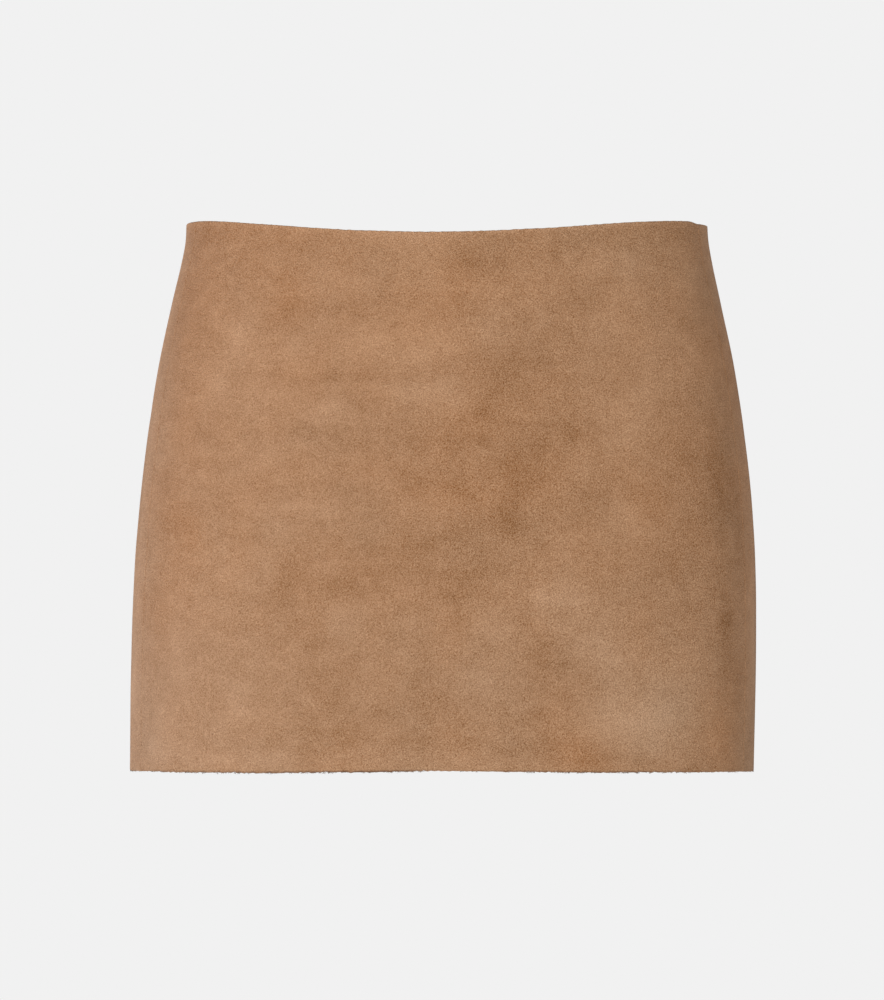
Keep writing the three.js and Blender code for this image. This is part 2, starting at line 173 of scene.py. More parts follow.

# Tone marks: nap brushed the darker way is negative; the marks also hold painted shade in the crease troughs
# and in a band inside the left side seam, and a painted highlight along both side rims
NAP_AND_PAINTED_LIGHT = soft_marks(
    (-77, 84, 15, 10, -0.4), (-79, 159, 8, 20, -0.3, 12), (-67, 122, 8, 7, -0.5),
    (-112, 120, 46, 4, -0.2, -2), (-98, 126, 35, 6, -0.3), (-111, 91, 21, 3, -0.4),
    (-122, 52, 8, 5, -0.45, -40), (-85, 199, 15, 6, -0.25, -15), (-96, 184, 14, 9, -0.3),
    (-108, 206, 23, 4, -0.15, 8), (-118, 215, 9, 12, -0.3), (-83, 27, 15, 4, -0.45), (-67, 23, 5, 5, -0.45),
    (-72, 293, 20, 6, -0.35, -10), (-63, 301, 10, 5, -0.4), (-111, 289, 17, 8, -0.3),
    (-71, 249, 16, 10, -0.3), (-44, 131, 9, 9, -0.3), (-47, 194, 13, 9, -0.25), (-83, 109, 8, 5, -0.35),
    (-64, 159, 7, 9, -0.25), (-60, 151, 3, 20, -0.2, 20), (-94, 264, 6, 29, -0.25), (-67, 48, 12, 7, -0.2),
    (-43, 309, 6, 3, -0.5), (-109, 48, 23, 14, -0.15), (-112, 108, 10, 6, 0.5),
    (-125, 102, 20, 9, 0.35, -20), (-133, 72, 7, 10, 0.4), (-96, 80, 14, 7, 0.4), (-90, 98, 20, 8, 0.35),
    (-56, 117, 13, 17, 0.5, 10), (-57, 166, 8, 6, 0.4), (-73, 212, 8, 6, 0.6), (-82, 229, 15, 7, 0.4, 25),
    (-68, 184, 12, 8, 0.3, 20), (-64, 240, 21, 12, 0.4, -30), (-55, 286, 17, 13, 0.5),
    (-51, 28, 15, 13, 0.3), (-108, 227, 13, 7, 0.35), (-114, 162, 15, 6, 0.25),
    (-142, 246, 7, 17, 0.3, -15), (-125, 304, 46, 5, 0.3), (-100, 13, 24, 7, 0.45), (-137, 95, 12, 10, 0.4),
    (-124, 135, 8, 8, 0.3), (-104, 68, 24, 7, 0.4, -4), (-94, 59, 12, 9, 0.25), (-113, 37, 16, 8, 0.25),
    (-94, 38, 11, 7, 0.25), (-52, 45, 10, 7, 0.4), (-50, 64, 14, 13, 0.3), (-65, 139, 9, 7, 0.35),
    (-55, 176, 10, 9, 0.35), (-68, 214, 12, 12, 0.45), (-72, 168, 10, 6, 0.3), (-127, 273, 8, 12, 0.35),
    (-147, 299, 16, 12, 0.35), (-58, 251, 16, 9, 0.25, -30), (-43, 246, 12, 14, 0.25),
    (-82, 259, 18, 9, 0.3), (-63, 287, 16, 8, 0.35), (-50, 298, 10, 8, 0.2), (-19, 228, 8, 40, 0.35),
    (-165, 200, 9, 80, 0.25), (-129, 198, 10, 9, 0.2), (-50, 101, 12, 10, 0.3), (-90, 70, 12, 10, 0.2),
    (-33, 154, 9, 34, -0.6), (-32, 238, 7, 36, -0.45), (-39, 142, 10, 10, -0.3), (-81, 98, 13, 6, -0.3),
    (-73, 136, 10, 9, -0.3), (-73, 122, 14, 6, -0.2), (-77, 176, 11, 9, -0.25), (-87, 176, 12, 9, -0.3),
    (-87, 154, 7, 8, -0.25), (-96, 145, 12, 7, -0.25), (-98, 200, 18, 8, -0.35), (-103, 184, 8, 8, -0.2),
    (-89, 213, 9, 10, -0.3), (-113, 234, 14, 9, -0.25), (-116, 184, 7, 12, -0.2), (-108, 154, 14, 6, -0.15),
    (-150, 152, 9, 9, -0.25), (-148, 172, 9, 7, -0.35), (-152, 221, 9, 14, -0.2), (-155, 57, 10, 22, -0.3),
    (-160, 10, 14, 9, -0.3), (-100, 275, 9, 9, -0.25), (-107, 281, 12, 9, -0.2), (-114, 303, 8, 8, -0.3),
    (-92, 295, 10, 7, -0.25), (-91, 275, 7, 8, -0.15), (-75, 280, 9, 5, -0.25, -20), (-68, 249, 9, 8, -0.2),
    (-71, 300, 12, 6, -0.15), (-34, 8, 12, 6, -0.35), (-64, 48, 10, 5, -0.15), (-57, 120, 9, 6, -0.2),
    (-48, 151, 8, 6, -0.15), (-122, 90, 9, 9, -0.2), (-140, 118, 9, 10, -0.2), (-102, 226, 10, 5, -0.15),
    (-122, 78, 30, 8, 0.3, 5), (-100, 98, 24, 7, 0.3, 10), (-108, 117, 14, 5, 0.2), (-93, 24, 16, 12, 0.3),
    (-80, 48, 12, 16, 0.3), (-60, 28, 16, 8, 0.4), (-58, 64, 16, 14, 0.3), (-38, 42, 14, 8, 0.4),
    (-38, 76, 10, 14, 0.35), (-46, 276, 20, 22, 0.4), (-73, 290, 8, 8, 0.25, -30), (-91, 168, 5, 8, 0.3),
    (-80, 153, 8, 8, 0.35), (-146, 282, 14, 12, 0.2), (-130, 110, 10, 8, -0.2), (-79, 171, 8, 8, -0.35),
    (-80, 137, 10, 8, -0.25), (-92, 184, 14, 8, -0.25), (-86, 200, 12, 12, -0.2), (-107, 198, 12, 8, -0.25),
    (-118, 200, 8, 8, -0.25), (-110, 260, 22, 12, -0.25), (-41, 170, 14, 10, -0.3, -20),
    (-27, 142, 8, 30, -0.35), (-27, 258, 8, 24, -0.3), (-148, 8, 24, 5, -0.35),
    (-77, 148, 12, 8, -0.45, -20), (-85, 125, 10, 10, -0.25), (-92, 152, 14, 9, -0.25),
    (-71, 168, 10, 8, -0.25), (-110, 210, 18, 6, -0.35), (-86, 224, 8, 8, -0.3), (-139, 170, 10, 14, -0.25),
    (-25, 182, 7, 26, -0.35), (-50, 160, 7, 6, -0.35), (-33, 228, 10, 10, -0.3), (-60, 276, 16, 12, 0.4),
    (-52, 262, 10, 10, 0.2), (-46, 84, 14, 12, 0.35, -20), (-33, 22, 12, 16, 0.35), (-69, 42, 16, 16, 0.3),
    (-82, 70, 20, 8, 0.35), (-100, 76, 20, 8, 0.3), (-108, 38, 30, 16, 0.25), (-102, 124, 6, 10, 0.4),
    (-134, 60, 14, 10, 0.25), (-174, 205, 6, 24, 0.35), (-14, 232, 6, 30, 0.5), (-92, 304, 26, 6, 0.3),
    (-12, 96, 9, 20, -0.4, 8), (4, 150, 16, 8, 0.35, -20), (-6, 228, 8, 26, -0.35, 4),
    (12, 262, 18, 9, 0.4, -12), (16, 44, 22, 7, -0.35, 5), (28, 176, 12, 10, -0.5),
    (33, 112, 38, 4, -0.4, -2), (35, 84, 16, 8, 0.45, 10), (40, 292, 22, 6, -0.45, -6),
    (47, 214, 14, 7, 0.5, 24), (52, 140, 8, 22, -0.55, 12), (58, 36, 18, 9, 0.35),
    (62, 256, 16, 10, 0.4, -28), (66, 188, 20, 5, -0.4, 6), (72, 92, 22, 4, -0.35, -2),
    (78, 232, 9, 12, -0.35), (80, 130, 10, 12, 0.35), (84, 288, 14, 6, 0.35), (98, 70, 14, 9, -0.35),
    (102, 206, 18, 7, -0.5, -14), (106, 150, 14, 8, 0.4), (110, 118, 40, 4, -0.4, 2),
    (114, 262, 20, 9, 0.45, 26), (118, 30, 16, 5, -0.4), (124, 182, 9, 18, -0.5, -10),
    (129, 96, 18, 8, 0.4, 18), (134, 296, 20, 5, -0.45, 4), (141, 232, 13, 8, 0.4),
    (146, 146, 28, 4, -0.35, -4), (152, 60, 12, 10, 0.35, -30), (160, 186, 8, 20, -0.35, 6),
    (168, 118, 20, 6, 0.35), (174, 252, 10, 22, -0.4, 8), (184, 74, 10, 16, 0.3),
    (190, 160, 8, 30, -0.35, -4), (194, 268, 12, 16, 0.35, 10),
)


class SmoothTable:
    """Smooth curves through a table's rows: the first column is the place and the rest are values."""

    def __init__(self, rows: Rows) -> None:
        """Keeps the rows, which rise in their first column, as arrays."""
        table = np.array(rows, dtype=float)
        self.places = table[:, 0]
        self.values = table[:, 1:]

    def at(self, place: Array) -> Array:
        """A cubic between two rows, which leaves each row along the chord of the rows beside it.

        Args:
            place: where the values are wanted, in any shape.

        Returns:
            The values, with one more axis for the columns.
        """
        last = len(self.places) - 1
        where = np.clip(place, self.places[0], self.places[last])
        high = np.clip(np.searchsorted(self.places, where, side="right"), 1, last)
        low = high - 1
        before = np.where(low > 0, low - 1, high)
        after = np.where(high < last, high + 1, low)
        step = self.places[high] - self.places[low]
        pull_low = 0.5 * step / (self.places[low] - self.places[before])
        pull_high = 0.5 * step / (self.places[after] - self.places[high])
        p = (where - self.places[low]) / step
        p2 = p * p
        p3 = p2 * p
        weights = (
            (before, pull_low * (2 * p2 - p3 - p)),
            (low, (1 + pull_low) * p3 - (1.5 + 2 * pull_low) * p2 + (pull_low - 0.5) * p + 1),
            (high, -(1 + pull_high) * p3 + (1.5 + pull_high) * p2 + 0.5 * p),
            (after, pull_high * (p3 - p2)),
        )
        return sum(weight[..., None] * self.values[row] for row, weight in weights)


def unit(vectors: Array) -> Array:
    """The vectors, each one long."""
    return vectors / np.linalg.norm(vectors, axis=-1, keepdims=True)


def steps_along(points: Array, axis: int) -> Array:
    """The lengths of the steps between neighbouring points along an axis."""
    return np.linalg.norm(np.diff(points, axis=axis), axis=-1)


def turns_between(start: float, stop: Array) -> Array:
    """Degrees from one turn to another, the short way round."""
    return np.mod(stop - start + FULL_TURN / 2, FULL_TURN) - FULL_TURN / 2


def sewn(below: Array) -> Array:
    """Half the gap at a sewn seam, the same at any level."""
    return np.full(np.shape(below), SEWN_GAP)


def wobble(place: Array, wave: Wave) -> Array:
    """An uneven wave between about -1 and 1, the mean of a few sines with seeded lengths and starts.

    Args:
        place: where along the line.
        wave: the wave.

    Returns:
        The wave's height at each place.
    """
    draw = np.random.default_rng(wave.seed)
    lengths = wave.length * draw.uniform(*SINE_LENGTHS, SINES)
    starts = draw.uniform(0, math.tau, SINES)
    return np.sin(np.asarray(place)[..., None] * math.tau / lengths + starts).mean(axis=-1) * SINE_GAIN


@dataclass(frozen=True)
class SkirtForm:
    """The outer face of the worn skirt, as a surface of turn and below."""

    sections: SmoothTable = SmoothTable(SECTIONS)
    edges: SmoothTable = SmoothTable(EDGES)
    reference_level: float = 200.0
    arc_steps: int = 1441
    stretch_step: float = 0.25
    outward_step: float = 0.5

    def level(self, turn: Array, share: Array, step: Array | float = 0.0) -> Array:
        """The depth of a point a share of the way from the waist edge down to the hem.

        Args:
            turn: the turn.
            share: 0 at the waist edge and 1 at the hem.
            step: how much lower the waist edge starts there.

        Returns:
            The depth below the origin.
        """
        edge = self.edges.at(np.where(turn < FRONT, turn + FULL_TURN, turn))
        waist = edge[..., 0] + step
        return waist + (edge[..., 1] - waist) * share

    def section_point(self, turn: Array, below: Array) -> Array:
        """Points on the level sections alone. A section is a squared-off oval, its radius at an angle
        being one over the root of the sum of powers of that angle's cosine and sine, and each quarter
        is stretched by its own half width and depth.

        Args:
            turn: the turn.
            below: the depth.

        Returns:
            The points.
        """
        turn, below = np.broadcast_arrays(turn, below)
        left, right, front, back, square = np.moveaxis(self.sections.at(below), -1, 0)
        angle = np.radians(turn)
        across = np.cos(angle)
        deep = np.sin(angle)
        reach = (np.abs(across) ** square + np.abs(deep) ** square) ** (-1 / square)
        wide = np.where(across > 0, left, right)
        thick = np.where(deep > 0, back, front)
        return np.stack([across * reach * wide, deep * reach * thick, -below], axis=-1)

    def outer(self, turn: Array, below: Array) -> Array:
        """Points on the outer face: the sections' points, carried level from the axis by the folds.

        Args:
            turn: the turn.
            below: the depth.

        Returns:
            The points.
        """
        points = self.section_point(turn, below)
        away = np.linalg.norm(points[..., :2], axis=-1)
        points[..., :2] *= (1 + self.soft_sum(LARGE_FOLDS, turn, below) / away)[..., None]
        return points

    def around(self, turn: Array, below: Array, step: float) -> Array:
        """The way round the cloth from a step before a turn to a step past it."""
        return self.outer(turn + step, below) - self.outer(turn - step, below)

    def stretch(self, turn: Array, below: Array) -> Array:
        """Millimetres along the cloth for each degree of turn."""
        step = self.stretch_step
        return np.linalg.norm(self.around(turn, below, step), axis=-1) / (2 * step)

    def outward(self, turn: Array, below: Array) -> Array:
        """The unit vector out of the cloth: the way round crossed with the way up."""
        step = self.outward_step
        up = self.outer(turn, below - step) - self.outer(turn, below + step)
        return unit(np.cross(self.around(turn, below, step), up))

    def moved_in(self, turn: Array, below: Array, depth: Array | float) -> Array:
        """Points some way into the cloth from its outer face."""
        return self.outer(turn, below) - self.outward(turn, below) * np.asarray(depth)[..., None]

    def arc(self, turn: Array) -> Array:
        """Millimetres along the cloth from the centre front, measured at the reference level."""
        turns = np.linspace(FRONT - FULL_TURN / 2, FRONT + FULL_TURN, self.arc_steps)
        points = self.outer(turns, np.full_like(turns, self.reference_level))
        running = np.concatenate([[0.0], np.cumsum(steps_along(points, 0))])
        return np.interp(turn, turns, running) - np.interp(FRONT, turns, running)

    def soft_sum(self, marks: tuple[Soft, ...], turn: Array, below: Array) -> Array:
        """The sum of soft marks. Each is its amount times a bell curve of the distance from its middle,
        measured in its own leaning axes and divided by its reach along each. A turn counts as the
        millimetres that a degree has at the mark's middle.

        Args:
            marks: the marks.
            turn: the turn.
            below: the depth.

        Returns:
            The sum at each point.
        """
        total = np.zeros(np.broadcast(turn, below).shape)
        for mark in marks:
            ends = self.section_point(np.array([mark.turn, mark.turn + 1]), np.array(mark.below))
            away = turns_between(mark.turn, turn) * np.linalg.norm(ends[1] - ends[0])
            down = below - mark.below
            lean = math.radians(mark.lean)
            along = (away * math.cos(lean) + down * math.sin(lean)) / mark.along
            across = (down * math.cos(lean) - away * math.sin(lean)) / mark.across
            total += mark.amount * np.exp(-along * along - across * across)
        return total


def grid_quads(rows: int, columns: int, start: int, turned: bool = False) -> Array:
    """The quads of a grid of points.

    Args:
        rows: rows of points.
        columns: points in a row.
        start: the index of the grid's first point.
        turned: whether the faces look the other way.

    Returns:
        Four indices for each quad.
    """
    index = start + np.arange(rows * columns).reshape(rows, columns)
    a, b, c, d = index[:-1, :-1], index[1:, :-1], index[1:, 1:], index[:-1, 1:]
    order = (a, d, c, b) if turned else (a, b, c, d)
    return np.stack(order, axis=-1).reshape(-1, 4)


def strip_quads(first: Array, second: Array) -> Array:
    """The quads between two rows of point indices of the same length."""
    return np.stack([first[:-1], first[1:], second[1:], second[:-1]], axis=-1)


def add_object(name: str, data: bpy.types.ID) -> bpy.types.Object:
    """A new object of this name and data, put into the scene."""
    made = bpy.data.objects.new(name, data)
    bpy.context.scene.collection.objects.link(made)
    return made


@dataclass
class MeshPiece:
    """Points, quads and named values, gathered until they become one Blender object."""

    name: str
    points: list[Array] = field(default_factory=list)
    quads: list[Array] = field(default_factory=list)
    finishes: list[Array] = field(default_factory=list)
    values: dict[str, list[Array]] = field(default_factory=dict)
    uv: list[Array] = field(default_factory=list)

    def size(self) -> int:
        """How many points there are so far."""
        return sum(len(block) for block in self.points)

    def add(self, points: Array, quads: Array, finish: int = 0, uv: Array | None = None,
            **values: Array) -> None:
        """Adds a block of points and the quads that use it.

        Args:
            points: the points, of any grid shape.
            quads: four indices for each quad, counted over the whole piece.
            finish: the number of the material on these quads.
            uv: two values for each point, in metres.
            **values: named values, one for each point.
        """
        flat = points.reshape(-1, 3)
        self.points.append(flat * MM)
        self.quads.append(quads)
        self.finishes.append(np.full(len(quads), finish))
        self.uv.append(np.zeros((len(flat), 2)) if uv is None else uv.reshape(-1, 2))
        for name, value in values.items():
            self.values.setdefault(name, []).append(np.broadcast_to(value, points.shape[:-1]).ravel())

    def add_wall(self, outer: Array, inner: Array, uv: Array, inner_finish: int = 0,
                 outer_values: dict[str, Array] | None = None,
                 inner_values: dict[str, Array] | None = None) -> None:
        """Adds a closed wall as the first block: two grids of one size, and the strips that join their
        rims.

        Args:
            outer: the outer face's points.
            inner: the inner face's points.
            uv: two values for each point of a face, in metres.
            inner_finish: the number of the inner face's material.
            outer_values: the outer face's named values.
            inner_values: the inner face's named values.
        """
        rows, columns = outer.shape[:2]
        count = rows * columns
        self.add(outer, grid_quads(rows, columns, 0), 0, uv, **(outer_values or {}))
        turned = grid_quads(rows, columns, count, turned=True)
        self.add(inner, turned, inner_finish, uv, **(inner_values or {}))
        face = np.arange(count).reshape(rows, columns)
        back = face + count
        for first, second in ((face[0], back[0]), (back[-1], face[-1]), (face[:, 0], back[:, 0]),
                              (back[:, -1], face[:, -1])):
            self.quads.append(strip_quads(first, second))
            self.finishes.append(np.zeros(len(first) - 1, dtype=int))

    def make(self, *materials: bpy.types.Material) -> bpy.types.Object:
        """Makes the object, smooth-shaded, with its values as attributes and its UV map.

        Args:
            *materials: the materials, in the order of the finish numbers.

        Returns:
            The new object, already in the scene.
        """
        points = np.concatenate(self.points)
        quads = np.concatenate(self.quads)
        mesh = bpy.data.meshes.new(self.name)
        mesh.vertices.add(len(points))
        mesh.vertices.foreach_set("co", points.ravel())
        mesh.loops.add(quads.size)
        mesh.loops.foreach_set("vertex_index", quads.ravel())
        mesh.polygons.add(len(quads))
        mesh.polygons.foreach_set("loop_start", np.arange(0, quads.size, 4))
        mesh.polygons.foreach_set("material_index", np.concatenate(self.finishes))
        mesh.update(calc_edges=True)
        mesh.shade_smooth()
        layer = mesh.uv_layers.new(name="cloth")
        layer.data.foreach_set("uv", np.concatenate(self.uv)[quads.ravel()].ravel())
        for name, blocks in self.values.items():
            attribute = mesh.attributes.new(name, "FLOAT", "POINT")
            attribute.data.foreach_set("value", np.concatenate(blocks))
        mesh.validate()
        for material in materials:
            mesh.materials.append(material)
        return add_object(self.name, mesh)


def tube_grid(path: Array, radius: Array | float, sides: int, guide: tuple[float, float, float]) -> Array:
    """Rings round a path. Each ring is a circle in the plane of two vectors square to the path, the first
    being the path's way crossed with the guide.

    Args:
        path: points along the middle, with any leading axes for many tubes.
        radius: the radius at each point.
        sides: points in a ring.
        guide: a vector that the path never runs along.

    Returns:
        Points with one more axis for the ring, whose last point repeats the first.
    """
    way = unit(np.gradient(path, axis=-2))
    first = unit(np.cross(way, guide))
    second = np.cross(way, first)
    angle = np.linspace(0, math.tau, sides + 1)
    size = np.broadcast_to(radius, path.shape[:-1])[..., None, None]
    ring = first[..., None, :] * np.cos(angle)[:, None] + second[..., None, :] * np.sin(angle)[:, None]
    return path[..., None, :] + ring * size


def add_tubes(piece: MeshPiece, grids: Array) -> None:
    """Adds tubes with closed ends: the last ring and the first shrink to a point.

    Args:
        piece: the piece to add to.
        grids: tubes, rings, points in a ring and coordinates.
    """
    tubes, rings, sides = grids.shape[:3]
    middles = np.broadcast_to(grids[:, :, :-1].mean(axis=2, keepdims=True), grids.shape)
    closed = np.concatenate([middles[:, :1], grids, middles[:, -1:]], axis=1)
    quads = grid_quads(rings + 2, sides, 0)
    start = piece.size() + np.arange(tubes) * (rings + 2) * sides
    piece.add(closed, (quads[None] + start[:, None, None]).reshape(-1, 4))


class Sheet:
    """Adds and links nodes in one shader tree."""

    def __init__(self, tree: bpy.types.NodeTree) -> None:
        """Keeps the tree."""
        self.tree = tree

    def feed(self, node: bpy.types.Node, inputs: dict) -> None:
        """Fills a node's sockets.

        Args:
            node: the node.
            inputs: socket name or number to a value, or to the socket that feeds it.
        """
        for name, value in inputs.items():
            if isinstance(value, bpy.types.NodeSocket):
                self.tree.links.new(value, node.inputs[name])
            else:
                node.inputs[name].default_value = value

    def node(self, kind: str, inputs: dict | None = None, **settings: object) -> bpy.types.Node:
        """Adds a node.

        Args:
            kind: the node's type.
            inputs: socket name or number to a value, or to the socket that feeds it.
            **settings: the node's own settings.

        Returns:
            The new node.
        """
        node = self.tree.nodes.new(kind)
        for name, value in settings.items():
            setattr(node, name, value)
        self.feed(node, inputs or {})
        return node

    def calculate(self, operation: str, *terms: object) -> bpy.types.NodeSocket:
        """A Math node on values or sockets, and its result."""
        return self.node("ShaderNodeMath", dict(enumerate(terms)), operation=operation).outputs[0]

    def vector(self, operation: str, **terms: object) -> bpy.types.NodeSocket:
        """A Vector Math node on a, b, c and a scale, and its result."""
        names = {"a": 0, "b": 1, "c": 2, "scale": "Scale"}
        inputs = {names[name]: term for name, term in terms.items()}
        return self.node("ShaderNodeVectorMath", inputs, operation=operation).outputs["Vector"]

    def noise(self, vector: object, waves: float, detail: float, roughness: float) -> bpy.types.NodeSocket:
        """A noise between about -1 and 1, at so many waves to the metre."""
        noise = self.node("ShaderNodeTexNoise", {
            "Vector": vector, "Scale": waves, "Detail": detail, "Roughness": roughness,
        })
        return self.calculate("MULTIPLY_ADD", noise.outputs["Fac"], NOISE_GAIN, -NOISE_GAIN / 2)

    def place(self) -> bpy.types.NodeSocket:
        """The object's own coordinates."""
        return self.node("ShaderNodeTexCoord").outputs["Object"]

    def value(self, name: str) -> bpy.types.NodeSocket:
        """The mesh attribute of this name."""
        return self.node("ShaderNodeAttribute", attribute_name=name).outputs["Fac"]


def new_material(name: str) -> tuple[bpy.types.Material, Sheet, bpy.types.Node]:
    """A material of this name, its node sheet and its Principled BSDF."""
    material = bpy.data.materials.new(name)
    material.use_nodes = True
    return material, Sheet(material.node_tree), material.node_tree.nodes["Principled BSDF"]


class NapGroup:
    """The shader group for brushed suede: fine grain, soft mottling, brushed patches with painted light and
    shade, and painted shade on the hem's cut edge.
    A noise is given by its waves to the metre, its detail and its roughness.
    """

    INPUTS = (
        ("Base", "NodeSocketColor", (0.4, 0.24, 0.13, 1.0)),
        # The cut colour is painted shade: the dark line where the hem's rounded cut edge turns down into
        # shadow
        ("Painted Cut Shade", "NodeSocketColor", (0.1, 0.052, 0.03, 1.0)),
        ("Fibre Tips", "NodeSocketColor", (0.4, 0.29, 0.2, 1.0)),
        ("Nap", "NodeSocketFloat", 0.0),
        ("Cool", "NodeSocketFloat", 0.0),
        ("Cut", "NodeSocketFloat", 0.0),
        ("Grain", "NodeSocketFloat", 0.1),
        ("Mottle", "NodeSocketFloat", 0.05),
        ("Brushing", "NodeSocketFloat", 0.15),
    )
    OUTPUTS = (("Color", "NodeSocketColor"), ("Roughness", "NodeSocketFloat"), ("Height", "NodeSocketFloat"))
    GRAIN = (1320.0, 2.0, 0.62)
    SPECK = (2700.0, 1.0, 0.5)
    MOTTLE = (120.0, 4.0, 0.62)
    HUE = (26.0, 1.0, 0.5)
    SPECK_SHARE = 0.5
    GRAIN_TURN = (0.62, 0.41, 0.97)
    MOTTLE_TURN = (0.07, 0.05, 0.6)
    MOTTLE_STRETCH = (0.75, 0.75, 1.0)
    WARMTH = (1.0, 1.28, 1.69)
    COOLNESS = (-0.055, 0.02, 0.1)
    HUE_DRIFT = 0.3
    ROUGHNESS = 0.9
    GRAIN_ROUGHNESS = 0.05

    def __init__(self) -> None:
        """Builds the group once."""
        tree = bpy.data.node_groups.new("suede nap", "ShaderNodeTree")
        for name, kind, default in self.INPUTS:
            tree.interface.new_socket(name, in_out="INPUT", socket_type=kind).default_value = default
        for name, kind in self.OUTPUTS:
            tree.interface.new_socket(name, in_out="OUTPUT", socket_type=kind)
        self.tree = tree
        self.build(Sheet(tree))

    def build(self, sheet: Sheet) -> None:
        """Links the group. Tone is mottling plus brushing; the nap input that the brushing scales holds nap
        tone and painted light and shade. The colour is the base tinted by a slow change of hue, whose cool
        input holds painted rim sheen too, times one plus that tone, plus the fibre tips times the grain, and
        mixed towards the cut colour, a painted shade, along the hem's cut edge. Green and blue follow the
        tone more than red does, so that darker nap is warmer. The grain is turned, so that no flat face lies
        along the noise's own grid.

        Args:
            sheet: the group's node sheet.
        """
        given = sheet.node("NodeGroupInput").outputs
        place = sheet.place()
        turned = sheet.node("ShaderNodeMapping", {"Vector": place, "Rotation": self.GRAIN_TURN}).outputs[0]
        drawn = sheet.node("ShaderNodeMapping", {"Vector": place, "Rotation": self.MOTTLE_TURN,
                                                 "Scale": self.MOTTLE_STRETCH}).outputs[0]
        grain = sheet.noise(turned, *self.GRAIN)
        mottle = sheet.noise(drawn, *self.MOTTLE)
        speck = sheet.calculate("MULTIPLY", sheet.noise(turned, *self.SPECK), self.SPECK_SHARE)
        mixed = sheet.calculate("ADD", grain, speck)
        brushed = sheet.calculate("MULTIPLY", given["Nap"], given["Brushing"])
        tone = sheet.calculate("MULTIPLY_ADD", mottle, given["Mottle"], brushed)
        cool = sheet.calculate("MULTIPLY_ADD", sheet.noise(turned, *self.HUE), self.HUE_DRIFT, given["Cool"])
        drift = sheet.vector("SCALE", a=self.COOLNESS, scale=cool)
        tinted = sheet.vector("MULTIPLY_ADD", a=given["Base"], b=drift, c=given["Base"])
        change = sheet.vector("SCALE", a=self.WARMTH, scale=tone)
        toned = sheet.vector("MULTIPLY_ADD", a=tinted, b=change, c=tinted)
        amount = sheet.calculate("MULTIPLY", mixed, given["Grain"])
        specked = sheet.vector("MULTIPLY_ADD", a=given["Fibre Tips"], b=amount, c=toned)
        cut = sheet.node("ShaderNodeMix", {"Factor": given["Cut"], "A": specked, "B": given["Painted Cut Shade"]},
                         data_type="RGBA")
        rough = sheet.calculate("MULTIPLY_ADD", grain, self.GRAIN_ROUGHNESS, self.ROUGHNESS)
        sheet.node("NodeGroupOutput", {"Color": cut.outputs["Result"], "Roughness": rough,
                                       "Height": sheet.calculate("ADD", mixed, mottle)})


@dataclass(frozen=True)
class SuedeFinish:
    """Brushed suede, from the shared nap group. Its relief is in metres."""

    name: str
    base: Colour
    grain: float = 0.38
    mottle: float = 0.1
    # Brushing scales the nap marks, painted light and shade among them
    brushing: float = 0.3
    relief: float = 0.0002
    gloss: float = 0.1
    sheen: float = 0.12
    sheen_roughness: float = 0.5
    sheen_tint: Colour = (1.0, 0.9, 0.8, 1.0)

    def make(self, nap: NapGroup) -> bpy.types.Material:
        """Makes the material.

        Args:
            nap: the shared nap group.

        Returns:
            The new material.
        """
        material, sheet, shader = new_material(self.name)
        group = sheet.node("ShaderNodeGroup", {
            "Base": self.base, "Mottle": self.mottle, "Brushing": self.brushing,
            "Grain": sheet.calculate("MULTIPLY", sheet.value("coarse"), self.grain),
            "Nap": sheet.value("nap"), "Cool": sheet.value("cool"), "Cut": sheet.value("cut"),
        }, node_tree=nap.tree).outputs
        bump = sheet.node("ShaderNodeBump", {"Distance": self.relief, "Height": group["Height"]})
        sheet.feed(shader, {
            "Base Color": group["Color"], "Roughness": group["Roughness"],
            "Normal": bump.outputs["Normal"], "Specular IOR Level": self.gloss,
            "Sheen Weight": self.sheen, "Sheen Roughness": self.sheen_roughness,
            "Sheen Tint": self.sheen_tint,
        })
        return material


@dataclass(frozen=True)
class TapeFinish:
    """Woven zip tape, with ribs across and along it on its own map. The rib and relief are in metres."""

    name: str = "zip tape weave"
    light: Colour = (0.36, 0.2, 0.1, 1.0)
    dark: Colour = (0.24, 0.125, 0.06, 1.0)
    rib: float = 0.0006
    rib_ratio: float = 1.4
    relief: float = 0.00012
    roughness: float = 0.8
    sheen: float = 0.2

    def make(self) -> bpy.types.Material:
        """Makes the material: two sine waves multiplied give the weave's colour and height."""
        material, sheet, shader = new_material(self.name)
        place = sheet.node("ShaderNodeUVMap", uv_map="cloth").outputs["UV"]
        split = sheet.node("ShaderNodeSeparateXYZ", {0: place}).outputs
        waves = []
        for axis, size in (("X", self.rib), ("Y", self.rib * self.rib_ratio)):
            waves.append(sheet.calculate("SINE", sheet.calculate("MULTIPLY", split[axis], math.tau / size)))
        weave = sheet.calculate("MULTIPLY", *waves)
        share = sheet.calculate("MULTIPLY_ADD", weave, 0.5, 0.5)
        colour = sheet.node("ShaderNodeMix", {"Factor": share, "A": self.dark, "B": self.light},
                            data_type="RGBA")
        bump = sheet.node("ShaderNodeBump", {"Distance": self.relief, "Height": weave})
        sheet.feed(shader, {
            "Base Color": colour.outputs["Result"], "Normal": bump.outputs["Normal"],
            "Roughness": self.roughness, "Sheen Weight": self.sheen,
        })
        return material


